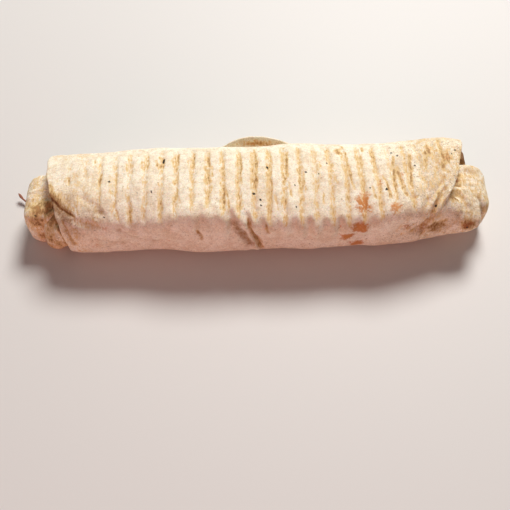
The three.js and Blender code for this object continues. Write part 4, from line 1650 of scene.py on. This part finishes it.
def studio_camera():
    """The camera, which looks down at the wrap from the front."""
    data = bpy.data.cameras.new("camera")
    data.lens = LENS
    data.sensor_width = SENSOR
    data.clip_start = NEAREST
    camera = linked("camera", data)
    turn = Matrix.Rotation(CAMERA_TURN, 4, "Z") @ Matrix.Rotation(CAMERA_TILT, 4, "X")
    camera.matrix_world = Matrix.Translation(CAMERA_PLACE) @ turn @ Matrix.Rotation(CAMERA_ROLL, 4, "Z")
    bpy.context.scene.camera = camera


def studio_sky(strength):
    """Even light from all round."""
    world = bpy.data.worlds.new("studio")
    world.use_nodes = True
    fill_in(world.node_tree.nodes["Background"], {"Color": SKY_COLOUR, "Strength": strength})
    bpy.context.scene.world = world


# --- What a user can change ---


def length_property(name, description, default, smallest):
    """A length, given in millimetres."""
    return bpy.props.FloatProperty(
        name=name, description=description, default=default * MM, min=smallest * MM, unit="LENGTH"
    )


def colour_property(name, description, default):
    """A colour."""
    return bpy.props.FloatVectorProperty(
        name=name, description=description, default=default, subtype="COLOR"
    )


def power_property(name, description, default):
    """The power of a light, in watts."""
    return bpy.props.FloatProperty(name=name, description=description, default=default, min=0, unit="POWER")


class WrapSizes(bpy.types.PropertyGroup):
    """Sizes of the wrap."""

    sheet: length_property("Sheet", "Thickness of the flatbread", 1.8, 0.5)
    rib_pitch: length_property("Rib pitch", "From one rib of the hot plate to the next", 10.07, 4)
    groove_width: length_property("Groove width", "Across one pressed groove", 5.0, 1)
    groove_depth: length_property("Groove depth", "Of the deepest grooves", 1.0, 0)
    unevenness: bpy.props.FloatProperty(
        name="Unevenness", description="How lumpy the rolled bread is", default=1.0, min=0, subtype="FACTOR"
    )


class WrapColours(bpy.types.PropertyGroup):
    """Colours of the bread and its filling."""

    pale: colour_property("Pale", "Floury crests of the bread", (0.955, 0.875, 0.715))
    warm: colour_property("Warm", "The bread between them", (0.80, 0.665, 0.485))
    bran: colour_property("Bran", "Flecks of bran", (0.47, 0.34, 0.20))
    golden: colour_property("Golden", "Lightly toasted bread", (0.79, 0.565, 0.275))
    toasted: colour_property("Toasted", "Well toasted bread", (0.42, 0.24, 0.095))
    browned: colour_property("Browned", "Brown blisters", (0.62, 0.255, 0.075))
    charred: colour_property("Charred", "Burnt specks", (0.03, 0.018, 0.01))
    # The tint of painted shade, in creases, recesses and shaded areas.
    dusky: colour_property("Dusky", "Multiplies the colour in creases", (0.47, 0.34, 0.26))
    meat: colour_property("Meat", "The shred of filling", (0.42, 0.13, 0.05))


class WrapStudio(bpy.types.PropertyGroup):
    """The floor and the lights."""

    floor: colour_property("Floor", "Colour of the plain floor", (0.70, 0.69, 0.675))
    key_power: power_property("Key", "Power of the large light behind the wrap", 47.0)
    fill_power: power_property("Fill", "Power of the soft light in front of it", 4.1)
    sky: bpy.props.FloatProperty(
        name="Sky", description="Strength of the even light from all round", default=0.17, min=0
    )


# --- Operators ---


class WRAP_OT_materials(bpy.types.Operator):
    """Make the node groups and materials that the pieces use"""

    bl_idname = "wrap.materials"
    bl_label = "Materials"

    def execute(self, context):
        colours = context.scene.wrap_colours
        mottle_group()
        toasting_group()
        pores_group()
        bread_material("Flatbread", colours, 0.0)
        bread_material("Inner Flatbread", colours, INNER_WARMTH)
        meat_material(colours)
        return {"FINISHED"}


class WRAP_OT_outer_turn(bpy.types.Operator):
    """Build the outer turn of the sheet, with its grooves, pleat, open ends and loose tail"""

    bl_idname = "wrap.outer_turn"
    bl_label = "Outer Turn"

    def execute(self, context):
        carried(outer_turn(context.scene.wrap_sizes, made_material("Flatbread")))
        return {"FINISHED"}


class WRAP_OT_inner_turns(bpy.types.Operator):
    """Build the next turns of the sheet, which show inside the open ends"""

    bl_idname = "wrap.inner_turns"
    bl_label = "Inner Turns"

    def execute(self, context):
        for turn in INNER_TURNS:
            carried(inner_turn(turn, context.scene.wrap_sizes, made_material("Inner Flatbread")))
        return {"FINISHED"}


class WRAP_OT_tucked_ends(bpy.types.Operator):
    """Build the folded lobes that close both ends"""

    bl_idname = "wrap.tucked_ends"
    bl_label = "Tucked Ends"

    def execute(self, context):
        for lobe in LOBES:
            carried(tucked_lobe(lobe, context.scene.wrap_sizes, made_material("Flatbread")))
        return {"FINISHED"}


class WRAP_OT_filling(bpy.types.Operator):
    """Build the shred of filling that shows at the left end"""

    bl_idname = "wrap.filling"
    bl_label = "Filling"

    def execute(self, context):
        carried(filling_shred(made_material("Roast Meat")))
        return {"FINISHED"}


class WRAP_OT_studio(bpy.types.Operator):
    """Make the floor, the lights and the camera"""

    bl_idname = "wrap.studio"
    bl_label = "Studio"

    def execute(self, context):
        studio = context.scene.wrap_studio
        studio_floor(studio.floor)
        studio_camera()
        studio_sky(studio.sky)
        aimed_light("key", KEY_PLACE, studio.key_power, KEY_COLOUR)
        aimed_light("fill", FILL_PLACE, studio.fill_power, FILL_COLOUR)
        context.scene.view_settings.view_transform = "Standard"
        return {"FINISHED"}


STEPS = (
    WRAP_OT_materials,
    WRAP_OT_outer_turn,
    WRAP_OT_inner_turns,
    WRAP_OT_tucked_ends,
    WRAP_OT_filling,
    WRAP_OT_studio,
)


class WRAP_PT_panel(bpy.types.Panel):
    """The wrap's sizes, colours and steps, in the 3D view's sidebar"""

    bl_idname = "WRAP_PT_panel"
    bl_label = "Doner Wrap"
    bl_space_type = "VIEW_3D"
    bl_region_type = "UI"
    bl_category = "Doner Wrap"

    def draw(self, context):
        for owner in (context.scene.wrap_sizes, context.scene.wrap_colours, context.scene.wrap_studio):
            for name in owner.bl_rna.properties.keys():
                if name not in ("rna_type", "name"):
                    self.layout.prop(owner, name)
        for step in STEPS:
            self.layout.operator(step.bl_idname)


GROUPS = {"wrap_sizes": WrapSizes, "wrap_colours": WrapColours, "wrap_studio": WrapStudio}


def register():
    """Adds the sizes, colours, steps and panel to Blender."""
    for made in (*GROUPS.values(), *STEPS, WRAP_PT_panel):
        bpy.utils.register_class(made)
    for name, made in GROUPS.items():
        setattr(bpy.types.Scene, name, bpy.props.PointerProperty(type=made))


def unregister():
    """Takes them out again."""
    for name in GROUPS:
        delattr(bpy.types.Scene, name)
    for made in (WRAP_PT_panel, *reversed(STEPS), *GROUPS.values()):
        bpy.utils.unregister_class(made)


def main():
    """Builds the wrap and its studio."""
    register()
    bpy.ops.wrap.materials()
    bpy.ops.wrap.outer_turn()
    bpy.ops.wrap.inner_turns()
    bpy.ops.wrap.tucked_ends()
    bpy.ops.wrap.filling()
    bpy.ops.wrap.studio()


if __name__ == "__main__":
    main()
